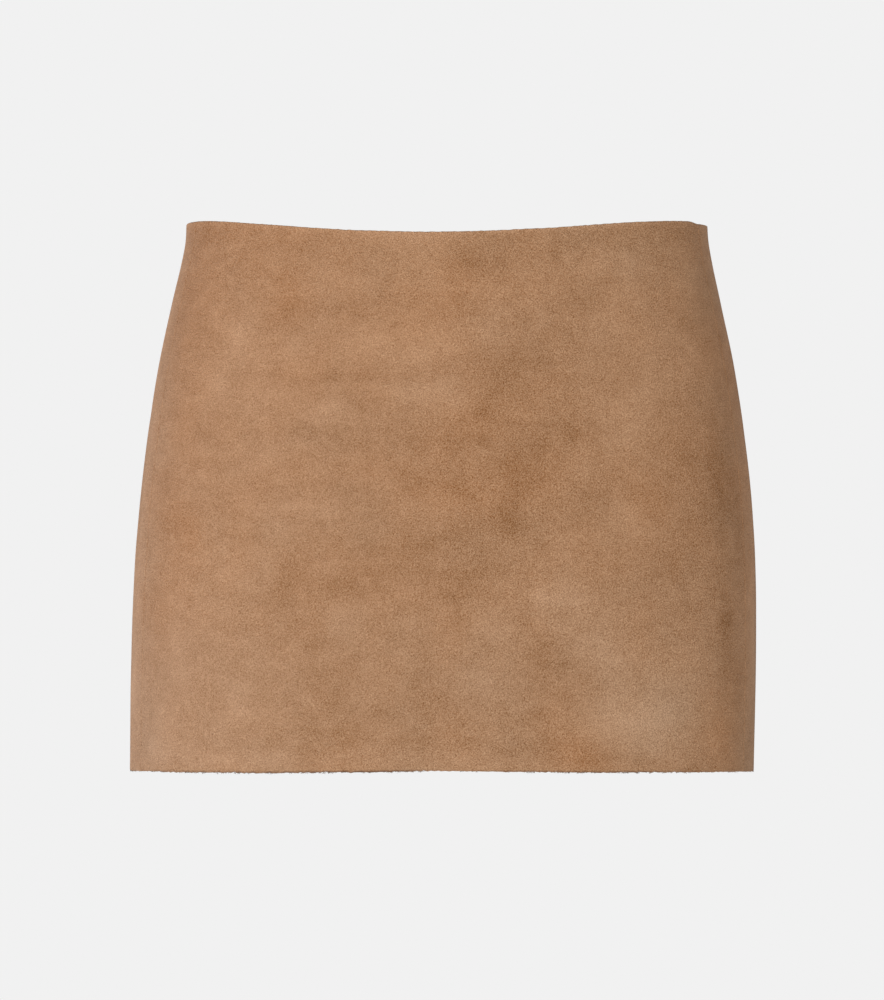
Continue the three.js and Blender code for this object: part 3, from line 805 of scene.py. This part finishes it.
@dataclass(frozen=True)
class SmoothFinish:
    """A smooth finish with faint uneven colour and gloss: enamel on metal, or nylon."""

    name: str
    base: Colour
    roughness: float
    metallic: float = 0.0
    coat: float = 0.0
    noise: tuple[float, float, float] = (700.0, 3.0, 0.6)
    worn_colour: float = 0.06
    worn_gloss: float = 0.08

    def make(self) -> bpy.types.Material:
        """Makes the material: a noise wears the colour and the gloss a little."""
        material, sheet, shader = new_material(self.name)
        noise = sheet.noise(sheet.place(), *self.noise)
        tone = sheet.calculate("MULTIPLY_ADD", noise, self.worn_colour, 1.0)
        sheet.feed(shader, {
            "Base Color": sheet.vector("SCALE", a=self.base[:3], scale=tone),
            "Roughness": sheet.calculate("MULTIPLY_ADD", noise, self.worn_gloss, self.roughness),
            "Metallic": self.metallic, "Coat Weight": self.coat,
        })
        return material


class Edge(Enum):
    """The two cut edges of the skirt."""

    WAIST = "waist"
    HEM = "hem"


class CutEdge(NamedTuple):
    """How a cut edge strays, by a fine and a broad wave, and how the painted light along it varies, by a
    wave about a mean and within limits.
    """

    stray: float
    fine: Wave
    broad: Wave
    patches: Wave
    mean: float
    swing: float
    least: float
    most: float


CUT_EDGES = {
    Edge.WAIST: CutEdge(0.1, Wave(5.2, 11), Wave(24, 14), Wave(9, 15), 1.0, 0.3, 0.5, 1.3),
    Edge.HEM: CutEdge(0.4, Wave(5.0, 12), Wave(31, 13), Wave(7, 16), 0.9, 0.5, 0.4, 1.2),
}


@dataclass(frozen=True)
class Cloth:
    """What all the suede panels share."""

    form: SkirtForm
    thickness: float = 1.5
    allowance_width: float = 10.0
    allowance_layer: float = 1.3
    allowance_slope: tuple[float, float] = (0.3, 0.5)
    seam_roll: float = 0.32
    roll_width: float = 0.9
    roll_power: float = 2.2
    cut_round: float = 0.4
    cut_reach: float = 0.6
    least_stray: float = 0.3
    broad_share: float = 0.5
    # How far the painted highlight along the waist's cut edge and the painted shade along the hem's reach
    # in, and the shade's power
    painted_highlight_reach: float = 1.4
    painted_shade_reach: float = 0.95
    painted_shade_power: int = 4
    lumps: float = 0.12
    lump_waves: tuple[Wave, Wave] = (Wave(60, 3), Wave(75, 4))
    lump_slants: tuple[float, float] = (0.6, 0.4)
    edge_step: float = 1.1
    step_rise: float = 6.0
    step_run: float = 30.0

    def waist_step(self, turn: Array) -> Array:
        """How much lower the waist edge lies at the left seam: it slopes down to it on the front panel
        in a short soft step, and fades slowly behind it.
        """
        past = turn - LEFT_SEAM
        rise = np.clip(1 + past / self.step_rise, 0, 1)
        before = self.edge_step * rise * rise * (3 - 2 * rise)
        behind = self.edge_step * np.exp(-np.maximum(past, 0) / self.step_run)
        return np.where(past > 0, np.where(turn < CENTRE_BACK, behind, 0.0), before)

    def fray_and_edge_light(self, edge: Edge, turn: Array) -> Array:
        """How frayed a cut edge is at each turn and how strong the painted light along it, straight between
        the table's rows.
        """
        turns, waist, hem = np.array(FRAY_AND_EDGE_LIGHT).T
        return np.interp(turn, turns, waist if edge is Edge.WAIST else hem, period=FULL_TURN)

    def patchy_edge_light(self, edge: Edge, turn: Array, arc: Array) -> Array:
        """How strong the painted light along a cut edge is, with patches along it: a painted highlight at
        the waist and a painted shade at the hem.
        """
        cut = CUT_EDGES[edge]
        patches = np.clip(cut.mean + cut.swing * wobble(arc, cut.patches), cut.least, cut.most)
        return self.fray_and_edge_light(edge, turn) * patches

    def stray(self, edge: Edge, turn: Array, arc: Array, away: Array) -> Array:
        """How far the rows near a cut edge lie off its line, up or down.

        Args:
            edge: the edge.
            turn: the turn.
            arc: the length along the cloth.
            away: each row's distance from the edge, over which the stray dies out.

        Returns:
            Millimetres down.
        """
        cut = CUT_EDGES[edge]
        height = (wobble(arc, cut.fine) + self.broad_share * wobble(arc, cut.broad)) * cut.stray
        return height * (np.exp(-away) * (self.least_stray + self.fray_and_edge_light(edge, turn)))

    def relief(self, turn: Array, below: Array, arc: Array) -> Array:
        """How far the cloth stands out of its form: its creases and a faint unevenness."""
        down, round_about = self.lump_slants
        first, second = self.lump_waves
        uneven = wobble(arc + down * below, first) * wobble(below - round_about * arc, second)
        return self.form.soft_sum(CREASES, turn, below) + uneven * self.lumps


@dataclass
class Panel:
    """A suede panel between two seams, with its allowances pressed open inside. The columns near a seam
    and the rows near an edge are given by their distance from it.
    """

    name: str
    cloth: Cloth
    start: float
    stop: float
    columns: int
    start_gap: Callable[[Array], Array]
    stop_gap: Callable[[Array], Array]
    rows: int = 146
    seam_columns: tuple[float, ...] = (0, 0.1, 0.25, 0.45, 0.7, 1.0, 1.4, 2.0, 3.0, 4.6, 7.0, 9.8, 10.1,
                                       10.5, 12.0)
    edge_rows: tuple[float, ...] = (0, 0.08, 0.2, 0.38, 0.62, 1.0, 1.6)
    length: float = 310.0
    inner_nap: float = 0.3
    inner_cool: float = 0.5
    measured: tuple[int, int] = (60, 90)

    def turns(self, share: Array) -> tuple[Array, Array]:
        """The turn of each column in each row, and how far it lies from the nearest seam.

        Args:
            share: each row's share of the way to the hem, as a column.

        Returns:
            Turns, and millimetres from the seam's line, both as rows by columns.
        """
        form = self.cloth.form
        start, stop = np.array(self.start), np.array(self.stop)
        middle = form.level((start + stop) / 2, share)
        marks = np.array(self.seam_columns)
        from_start = self.start_gap(form.level(start, share)) + marks
        from_stop = self.stop_gap(form.level(stop, share)) + marks[::-1]
        first = self.start + from_start / form.stretch(start, middle)
        last = self.stop - from_stop / form.stretch(stop, middle)
        part = np.linspace(0, 1, self.columns + 1)[1:-1]
        between = first[:, -1:] + (last[:, :1] - first[:, -1:]) * part
        wide = np.broadcast_to(marks, first.shape)
        away = np.concatenate([wide, np.full_like(between, marks[-1]), wide[:, ::-1]], axis=1)
        return np.concatenate([first, between, last], axis=1), away

    def build(self, outside: bpy.types.Material, inside: bpy.types.Material) -> bpy.types.Object:
        """Builds the panel as one closed wall: an outer and an inner face over the same grid of turns and
        levels, with its folds, rolled seam edges, ragged cut edges and allowances.

        Args:
            outside: the outer suede.
            inside: the inner suede.

        Returns:
            The panel.
        """
        cloth = self.cloth
        form = cloth.form
        near = np.array(self.edge_rows) / self.length
        even = np.linspace(near[-1], 1 - near[-1], self.rows + 1)[1:-1]
        share = np.concatenate([near, even, 1 - near[::-1]])[:, None]
        turn, away = self.turns(share)
        from_waist = share * self.length
        from_hem = (1 - share) * self.length
        arc = form.arc(turn)
        below = form.level(turn, share, cloth.waist_step(turn))
        below = below + cloth.stray(Edge.WAIST, turn, arc, from_waist)
        below = below + cloth.stray(Edge.HEM, turn, arc, from_hem)
        from_cut = np.minimum(from_waist, from_hem)
        rounding = cloth.cut_round * np.clip(1 - from_cut / cloth.cut_reach, 0, 1) ** 2
        roll = cloth.seam_roll * np.clip(1 - away / cloth.roll_width, 0, 1) ** cloth.roll_power
        beyond, slope = cloth.allowance_slope
        layered = np.clip((cloth.allowance_width + beyond - away) / slope, 0, 1)
        thick = cloth.thickness + cloth.allowance_layer * layered
        way = form.outward(turn, below)
        relief = cloth.relief(turn, below, arc)
        base = form.outer(turn, below)
        outer = base + way * (relief - roll - rounding)[..., None]
        inner = base + way * (relief - thick + rounding)[..., None]
        # Painted light at the cut edges: pale is a painted highlight along the waist's top edge, where light
        # from above catches it, and dark is a painted shade along the hem's rounded cut edge
        pale = cloth.patchy_edge_light(Edge.WAIST, turn, arc) * np.exp(-from_waist / cloth.painted_highlight_reach)
        dark = cloth.patchy_edge_light(Edge.HEM, turn, arc)
        # nap holds nap tone with painted light and shade plus the painted waist highlight, cut holds the
        # painted hem shade, and cool holds hue with painted rim sheen
        looks = {
            "nap": form.soft_sum(NAP_AND_PAINTED_LIGHT, turn, below) + pale,
            "cut": dark * np.exp(-(from_hem / cloth.painted_shade_reach) ** cloth.painted_shade_power),
            "coarse": 1 + form.soft_sum(COARSE, turn, below),
            "cool": form.soft_sum(HUE_AND_RIM_SHEEN, turn, below),
        }
        weaker = {"nap": looks["nap"] * self.inner_nap, "cool": looks["cool"] * self.inner_cool}
        piece = MeshPiece(self.name)
        uv = np.stack([arc, -below], axis=-1) * MM
        piece.add_wall(outer, inner, uv, 1, looks, {**looks, **weaker})
        return piece.make(outside, inside)

    def flat_cut(self) -> tuple[float, float, float]:
        """The panel laid flat: the arc at each level makes its width, and the way down its length.

        Returns:
            Width, length and area, in metres and square metres.
        """
        form = self.cloth.form
        rows, columns = self.measured
        share = np.linspace(0, 1, rows)[:, None]
        turn = np.linspace(self.start, self.stop, columns)[None, :] * np.ones_like(share)
        points = form.outer(turn, form.level(turn, share))
        widths = steps_along(points, 1).sum(axis=1)
        lengths = steps_along(points, 0).sum(axis=0)
        area = widths.mean() * lengths.mean()
        return widths.max() * MM, lengths.max() * MM, area * MM * MM


@dataclass
class Fuzz:
    """Short loose fibres along a cut edge of the cloth, each a thin tapering hair. They grow in tufts
    where the edge is worn.
    """

    name: str
    edge: Edge
    cloth: Cloth
    tufts: int
    in_tuft: int
    longest: float
    thickness: float
    tuft_width: float
    seed: int
    # cut gives the fibres the painted hem shade, and nap gives them the painted waist highlight
    cut: float = 0.0
    nap: float = 0.0
    steps: int = 4
    sides: int = 3
    spread: float = 0.4
    short_tuft: float = 0.2
    short_fibre: float = 0.6
    long_rarity: int = 3
    from_face: float = 0.15
    stray: float = 0.35
    sunk: float = 0.35
    thinning: float = 0.66
    guide: tuple[float, float, float] = (0.31, 0.47, 0.83)
    zip_clear: float = 0.6

    def roots(self, draw: np.random.Generator) -> tuple[Array, Array]:
        """Draws the tufts evenly round the edge, keeps each by chance where the edge is worn, and spreads
        its fibres to both sides. A few tufts are much longer than the rest.

        Args:
            draw: the seeded draw.

        Returns:
            The turn of each fibre, and its length.
        """
        form = self.cloth.form
        middles = draw.uniform(FRONT, FRONT + FULL_TURN, self.tufts)
        kept = middles[draw.random(self.tufts) < self.cloth.fray_and_edge_light(self.edge, middles)]
        shape = (len(kept), self.in_tuft)
        reach = self.tuft_width / form.stretch(kept, np.array(form.reference_level))
        turn = kept[:, None] + reach[:, None] * draw.normal(0, self.spread, shape)
        tall = draw.random(len(kept)) ** self.long_rarity
        tuft_length = self.short_tuft + (1 - self.short_tuft) * tall
        length = self.longest * tuft_length[:, None] * draw.uniform(self.short_fibre, 1.0, shape)
        clear = np.abs(turn - CENTRE_BACK) > self.zip_clear
        return turn[clear], length[clear]

    def build(self, finish: bpy.types.Material) -> bpy.types.Object:
        """Builds the fibres. Each starts on the cut, runs on past it, curls to one side by the square of
        its length, and thins to a third of its root.

        Args:
            finish: the suede.

        Returns:
            The fibres, as one piece.
        """
        form = self.cloth.form
        draw = np.random.default_rng(self.seed)
        turn, length = self.roots(draw)
        count = len(turn)
        at_waist = self.edge is Edge.WAIST
        share = np.full(count, 0.0 if at_waist else 1.0)
        below = form.level(turn, share, self.cloth.waist_step(turn))
        depth = draw.uniform(self.from_face, self.cloth.thickness - self.from_face, count)
        root = form.moved_in(turn, below, depth)
        away = form.outward(turn, below)
        onward = np.array([0.0, 0.0, 1.0 if at_waist else -1.0])
        side = np.cross(away, onward)
        lean = draw.normal(0, self.stray, (2, count))
        curl = draw.normal(0, self.stray, (2, count))
        t = np.linspace(0, 1, self.steps)
        rise = t[None, :, None]
        first = (side * lean[0][:, None] + away * lean[1][:, None])[:, None]
        bend = (side * curl[0][:, None] + away * curl[1][:, None])[:, None]
        way = onward * (rise - self.sunk) + first * rise + bend * rise * rise
        path = root[:, None] + length[:, None, None] * way
        piece = MeshPiece(self.name)
        radius = self.thickness / 2 * (1 - self.thinning * t)
        add_tubes(piece, tube_grid(path, radius, self.sides, self.guide))
        # The fibres take the painted hem shade in cut and the painted waist highlight in nap as whole values
        for name, value in (("cut", self.cut), ("nap", self.nap), ("cool", 0.0), ("coarse", 1.0)):
            piece.values[name] = [np.full(piece.size(), value)]
        return piece.make(finish)


@dataclass
class Zip:
    """The hidden zip at the centre back: tapes, coil, stitches, slider, pull tab and stop. The stop is
    given by half its width, depth and height, its depth past the tapes and its height over their foot.
    """

    cloth: Cloth
    slider_below: float = 15.0
    slider_half: float = 6.5
    parting: float = 0.85
    parting_reach: float = 9.0
    closed_gap: float = 0.06
    closed_fade: float = 6.0
    tape_top: float = 3.0
    tape_bottom: float = 152.0
    tape_thickness: float = 0.7
    tape_from_middle: float = 2.2
    tape_width: float = 9.6
    tape_grid: tuple[int, int] = (90, 13)
    tape_rim: tuple[float, float] = (12.0, 0.25)
    tape_ripple: float = 0.06
    ripple_length: float = 14.0
    ripple_slant: float = 5.0
    ripple_seed: int = 21
    seam_gap: float = 0.3
    coil_pitch: float = 1.35
    coil_from_middle: float = 1.15
    coil_width: float = 1.0
    coil_height: float = 0.75
    coil_wire: float = 0.3
    coil_clear: tuple[float, float] = (1.0, 3.0)
    coil_steps: int = 12
    round_sides: int = 6
    stitch_length: float = 2.3
    stitch_gap: float = 0.7
    stitch_thread: float = 0.22
    stitch_lift: float = 0.32
    stitch_sunk: float = 0.1
    stitch_slant: float = 0.12
    stitch_place: float = 0.55
    stitch_clear: tuple[float, float] = (3.0, 4.0)
    stitch_steps: int = 6
    stop_half: tuple[float, float, float] = (2.7, 1.15, 2.2)
    stop_deep: float = 1.1
    stop_up: float = 4.5
    stop_grid: tuple[int, int] = (17, 33)

    def inside(self) -> float:
        """How deep in the cloth the tapes' outer faces lie."""
        return self.cloth.thickness + self.cloth.allowance_layer + self.seam_gap

    def gap(self, below: Array) -> Array:
        """Half the gap between the back panels: a bell round the slider's neck, a narrow slit down the
        zip, and a sewn seam below it.
        """
        away = (below - self.slider_below) / self.parting_reach
        slit = self.closed_gap * np.clip((self.tape_bottom - below) / self.closed_fade, 0, 1)
        return SEWN_GAP + slit + self.parting * np.exp(-away * away)

    def place(self, along: Array, below: Array, depth: Array | float) -> Array:
        """Points beside the centre-back line, some way into the cloth.

        Args:
            along: millimetres from the line, towards the wearer's right where positive.
            below: the depth below the origin.
            depth: millimetres into the cloth.

        Returns:
            The points.
        """
        along, below = np.broadcast_arrays(along, below)
        stretch = self.cloth.form.stretch(np.full(below.shape, CENTRE_BACK), below)
        return self.cloth.form.moved_in(CENTRE_BACK + along / stretch, below, depth)

    def tape(self, name: str, side: int, finish: bpy.types.Material) -> bpy.types.Object:
        """One tape: a thin rippled wall, thinned to a round edge on both sides.

        Args:
            name: the piece's name.
            side: -1 or 1.
            finish: the tape's material.

        Returns:
            The tape.
        """
        rows, columns = self.tape_grid
        below = np.linspace(self.tape_top, self.tape_bottom, rows)[:, None]
        share = np.linspace(0, 1, columns)[None, ::side]
        along = side * (self.tape_from_middle + self.tape_width * share)
        steepness, thinned = self.tape_rim
        rim = np.clip(1 - steepness * np.minimum(share, 1 - share), 0, 1) ** 2 * thinned
        wave = Wave(self.ripple_length, self.ripple_seed + side)
        ripple = self.tape_ripple * wobble(below + share * self.ripple_slant, wave)
        outer = self.place(along, below, self.inside() + rim + ripple)
        inner = self.place(along, below, self.inside() + self.tape_thickness - rim + ripple)
        piece = MeshPiece(name)
        piece.add_wall(outer, inner, np.stack(np.broadcast_arrays(along, -below), axis=-1) * MM)
        return piece.make(finish)

    def coil(self, side: int, finish: bpy.types.Material) -> bpy.types.Object:
        """One row of the zip's coil: a flattened helix down the tape's edge, in two stretches that leave
        room for the slider's body.

        Args:
            side: -1 or 1.
            finish: the nylon.

        Returns:
            The coil.
        """
        piece = MeshPiece("zip_coil_left" if side < 0 else "zip_coil_right")
        above, under = self.coil_clear
        offset = 0.5 * self.coil_pitch if side > 0 else 0
        stretches = (
            (self.tape_top + above, self.slider_below - self.slider_half),
            (self.slider_below + self.slider_half, self.tape_bottom - under),
        )
        for top, foot in stretches:
            turns = (foot - top) / self.coil_pitch
            angle = np.linspace(0, math.tau * turns, int(turns * self.coil_steps))
            below = top + (foot - top) * angle / angle[-1] + offset
            along = side * (self.coil_from_middle + self.coil_width * np.cos(angle))
            middle = self.inside() + self.tape_thickness + self.coil_wire + self.coil_height
            path = self.place(along, below, middle + self.coil_height * np.sin(angle))
            add_tubes(piece, tube_grid(path, self.coil_wire, self.round_sides, (0.0, -0.2, 1.0))[None])
        return piece.make(finish)

    def stitches(self, finish: bpy.types.Material) -> bpy.types.Object:
        """The rows of machine stitches that hold the tapes: short arches of thread, sunk at both ends.

        Args:
            finish: the thread.

        Returns:
            The stitches, as one piece.
        """
        above, under = self.stitch_clear
        pitch = self.stitch_length + self.stitch_gap
        top = np.arange(self.tape_top + above, self.tape_bottom - under, pitch)
        t = np.linspace(0, 1, self.stitch_steps)
        piece = MeshPiece("zip_stitches")
        for side in (-1, 1):
            below = top[:, None] + self.stitch_length * t
            lift = self.stitch_lift * np.sin(math.pi * t)
            depth = self.inside() + self.tape_thickness - self.stitch_sunk + lift * np.ones_like(below)
            middle = side * (self.tape_from_middle + self.stitch_place * self.tape_width)
            along = (middle + self.stitch_slant * (t - 0.5)) * np.ones_like(below)
            path = self.place(along, below, depth)
            add_tubes(piece, tube_grid(path, self.stitch_thread, self.round_sides, (1.0, 0.0, 0.1)))
        return piece.make(finish)

    def stop(self, finish: bpy.types.Material) -> bpy.types.Object:
        """The crimped stop at the coil's foot: a pillow with squared-off level sections.

        Args:
            finish: the metal.

        Returns:
            The stop.
        """
        rows, columns = self.stop_grid
        wide, deep, high = self.stop_half
        v = np.linspace(-1, 1, rows)[:, None]
        angle = np.linspace(0, math.tau, columns)[None, :]
        across = np.cos(angle)
        inward = np.sin(angle)
        swell = (1 - np.abs(v) ** SQUARED_OFF) ** (1 / SQUARED_OFF)
        corner = (np.abs(across) ** SQUARED_OFF + np.abs(inward) ** SQUARED_OFF) ** (-1 / SQUARED_OFF)
        middle = self.inside() + self.tape_thickness + self.stop_deep
        below = self.tape_bottom - self.stop_up + high * v * np.ones_like(angle)
        piece = MeshPiece("zip_stop")
        grid = self.place(wide * swell * corner * across, below, middle - deep * swell * corner * inward)
        piece.add(grid, grid_quads(rows, columns, 0))
        return piece.make(finish)


@dataclass(frozen=True)
class Hardware:
    """A small metal part of the frame, welded and with its edges rounded. Angles are in degrees."""

    node: str
    name: str
    width: float
    weld_metres: float = 2e-6
    flat_angle: float = 1.0
    sharp_angle: float = 35.0
    segments: int = 3

    def build(self, finish: bpy.types.Material) -> bpy.types.Object:
        """Builds the part from a copy of its node.

        Args:
            finish: the enamel.

        Returns:
            The new piece.
        """
        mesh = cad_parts[self.node].data.copy()
        mesh.name = self.name
        work = bmesh.new()
        work.from_mesh(mesh)
        bmesh.ops.remove_doubles(work, verts=work.verts, dist=self.weld_metres)
        bmesh.ops.dissolve_limit(work, angle_limit=math.radians(self.flat_angle), verts=work.verts,
                                 edges=work.edges)
        work.to_mesh(mesh)
        work.free()
        mesh.materials.clear()
        mesh.materials.append(finish)
        made = add_object(self.name, mesh)
        bevel = made.modifiers.new("rounded edges", "BEVEL")
        bevel.width = self.width * MM
        bevel.segments = self.segments
        bevel.limit_method = "ANGLE"
        bevel.angle_limit = math.radians(self.sharp_angle)
        bevel.harden_normals = False
        mesh.shade_smooth()
        return made


@dataclass(frozen=True)
class SoftLight:
    """A square soft light that faces the skirt's middle, its sizes in metres and its power in watts.
    Azimuth 0 is the camera's side.
    """

    name: str
    azimuth: float
    elevation: float
    power: float
    colour: tuple[float, float, float] = (1.0, 1.0, 1.0)
    distance: float = 2.6
    size: float = 1.1

    def make(self, target: Vector) -> None:
        """Makes the light, facing the target."""
        data = bpy.data.lights.new(self.name, "AREA")
        data.size = self.size
        data.energy = self.power
        data.color = self.colour
        azimuth = math.radians(self.azimuth)
        elevation = math.radians(self.elevation)
        level = math.cos(elevation)
        way = Vector((math.sin(azimuth) * level, -math.cos(azimuth) * level, math.sin(elevation)))
        made = add_object(self.name, data)
        made.location = target + way * self.distance
        made.rotation_euler = (-way).to_track_quat("-Z", "Y").to_euler()


LIGHTS = (
    SoftLight("side", -84, -5, 29, (0.98, 1.0, 1.07)),
    SoftLight("key", -28, 2, 31.5),
    SoftLight("fill", 34, 8, 26, (1.0, 0.98, 0.9)),
    SoftLight("back_left", -150, 12, 16),
    SoftLight("back_right", 150, 12, 12),
    SoftLight("back_above", 180, 48, 16),
)


@dataclass(frozen=True)
class Studio:
    """The camera, lights, floor and plain pale surroundings. Sizes are in metres, the sensor's apart."""

    middle: Vector = Vector((0.0, 0.0, -0.159))
    camera_aside: float = -0.002
    camera_distance: float = 2.5
    picture_height: float = 0.5782
    sensor: float = 36.0
    backdrop: Colour = (0.8796, 0.8796, 0.8796, 1.0)
    ambient: float = 0.112
    floor_level: float = -1.0
    floor_radius: float = 4.2
    floor_clear: float = 1.2
    floor_grid: tuple[int, int] = (3, 97)
    floor_grey: float = 0.08
    floor_glow: float = 0.65

    def camera(self) -> None:
        """Makes the camera: level, square to the front, on a long lens."""
        data = bpy.data.cameras.new("camera")
        data.sensor_width = self.sensor
        data.lens = self.sensor * self.camera_distance / self.picture_height
        made = add_object("camera", data)
        made.location = (self.camera_aside, -self.camera_distance, self.middle.z)
        made.rotation_euler = (math.pi / 2, 0, 0)
        bpy.context.scene.camera = made

    def surroundings(self) -> None:
        """Makes the world: an even pale backdrop to look at, and a dimmer white light."""
        world = bpy.data.worlds.new("studio")
        bpy.context.scene.world = world
        world.use_nodes = True
        world.node_tree.nodes.clear()
        sheet = Sheet(world.node_tree)
        seen = sheet.node("ShaderNodeBackground", {"Color": self.backdrop, "Strength": 1.0})
        light = sheet.node("ShaderNodeBackground", {"Color": WHITE, "Strength": self.ambient})
        ray = sheet.node("ShaderNodeLightPath").outputs["Is Camera Ray"]
        mix = sheet.node("ShaderNodeMixShader", {0: ray, 1: light.outputs[0], 2: seen.outputs[0]})
        sheet.node("ShaderNodeOutputWorld", {"Surface": mix.outputs[0]})

    def floor(self) -> None:
        """Makes the floor: a pale disc well below the skirt. Most of its light is its own, so that no
        lamp leaves a bright pool, and it thins out towards its rim, so that it has no hard horizon.
        """
        rings, columns = self.floor_grid
        angle = np.linspace(0, math.tau, columns)
        rim = np.stack([np.cos(angle), np.sin(angle)], axis=-1)
        radii = np.linspace(0, self.floor_radius / MM, rings)
        grid = np.full((rings, columns, 3), self.floor_level / MM)
        grid[..., :2] = radii[:, None, None] * rim
        piece = MeshPiece("floor")
        piece.add(grid, grid_quads(rings, columns, 0))
        material, sheet, shader = new_material("pale floor")
        away = sheet.node("ShaderNodeVectorMath", {0: sheet.place()}, operation="LENGTH").outputs["Value"]
        fade = sheet.node("ShaderNodeMapRange", {
            "Value": away, "From Min": self.floor_clear, "From Max": self.floor_radius,
            "To Min": 1.0, "To Max": 0.0,
        }, interpolation_type="SMOOTHSTEP").outputs["Result"]
        sheet.feed(shader, {
            "Base Color": (self.floor_grey, self.floor_grey, self.floor_grey, 1.0), "Roughness": 1.0,
            "Specular IOR Level": 0.0, "Emission Color": WHITE, "Emission Strength": self.floor_glow,
            "Alpha": fade,
        })
        piece.make(material)

    def build(self) -> None:
        """Builds the whole studio."""
        bpy.context.scene.view_settings.view_transform = "Standard"
        self.camera()
        self.surroundings()
        self.floor()
        for light in LIGHTS:
            light.make(self.middle)


@dataclass
class Skirt:
    """The whole skirt: three panels, loose fibres at its cut edges, and the zip."""

    form: SkirtForm = field(default_factory=SkirtForm)
    outer: SuedeFinish = SuedeFinish("suede outside", (0.457, 0.2457, 0.131, 1.0))
    inner: SuedeFinish = SuedeFinish("suede inside", (0.43, 0.25, 0.14, 1.0), grain=0.15, mottle=0.06,
                                     relief=0.00006, sheen=0.1)
    enamel: SmoothFinish = SmoothFinish("zip enamel", (0.36, 0.2, 0.105, 1.0), 0.38, 0.1, 0.3)
    nylon: SmoothFinish = SmoothFinish("zip nylon", (0.33, 0.18, 0.09, 1.0), 0.45)
    thread: SmoothFinish = SmoothFinish("tan thread", (0.3, 0.165, 0.085, 1.0), 0.75)
    slider: Hardware = Hardware("zip_slider", "zip_slider_rounded", 0.2)
    tab: Hardware = Hardware("zip_pull_tab", "zip_pull_tab_rounded", 0.3)

    def report(self, piece: bpy.types.Object, body: str, slot: str, *nodes: str) -> bpy.types.Object:
        """Puts a piece on its body, hides the frame's nodes that it stands for, and logs it.

        Args:
            piece: the new piece.
            body: the body it rides on.
            slot: the record's material slot, not used.
            *nodes: the frame's nodes that it replaces.

        Returns:
            The same piece.
        """
        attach(piece, body)
        if nodes:
            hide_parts(*nodes)
        LOG.info("%s: %d faces on %s", piece.name, len(piece.data.polygons), body)
        return piece

    def build(self) -> None:
        """Builds every piece of the skirt in order."""
        cloth = Cloth(self.form)
        closure = Zip(cloth)
        nap = NapGroup()
        outside = self.outer.make(nap)
        inside = self.inner.make(nap)
        tape = TapeFinish().make()
        enamel = self.enamel.make()
        nylon = self.nylon.make()
        for hand, side in (("left", -1), ("right", 1)):
            woven = closure.tape(f"zip_tape_{hand}_woven", side, tape)
            self.report(woven, "skirt", "zip_tape", f"zip_tape_{hand}")
        panels = {
            "front_panel": (RIGHT_SEAM - FULL_TURN, LEFT_SEAM, 196, sewn, sewn),
            "back_panel_left": (LEFT_SEAM, CENTRE_BACK, 142, sewn, closure.gap),
            "back_panel_right": (CENTRE_BACK, RIGHT_SEAM, 142, closure.gap, sewn),
        }
        for node, sizes in panels.items():
            panel = Panel(node + "_suede", cloth, *sizes)
            piece = self.report(panel.build(outside, inside), "skirt", "suede", node)
            width, length, area = panel.flat_cut()
            LOG.info("%s laid flat: %.3f by %.3f m, %.4f square metres", piece.name, width, length, area)
        fuzz = (
            # The hem fibres carry painted shade in cut, and the waist fibres a painted highlight in nap
            Fuzz("hem_fibres", Edge.HEM, cloth, 1500, 8, 1.5, 0.16, 0.7, 31, cut=0.78),
            Fuzz("waist_fibres", Edge.WAIST, cloth, 300, 5, 0.5, 0.12, 0.6, 32, nap=0.8),
        )
        for fibres in fuzz:
            self.report(fibres.build(outside), "skirt", "suede")
        for side in (-1, 1):
            self.report(closure.coil(side, nylon), "skirt", "zip_tape")
        self.report(closure.stitches(self.thread.make()), "skirt", "zip_tape")
        self.report(closure.stop(enamel), "skirt", "zip_enamel")
        self.report(self.slider.build(enamel), "skirt", "zip_enamel", self.slider.node)
        self.report(self.tab.build(enamel), "zip_pull", "zip_enamel", self.tab.node)


def main() -> None:
    """Builds the studio, then the skirt."""
    logging.basicConfig(level=logging.INFO, format="%(name)s: %(message)s")
    Studio().build()
    Skirt().build()


if __name__ == "__main__":
    main()
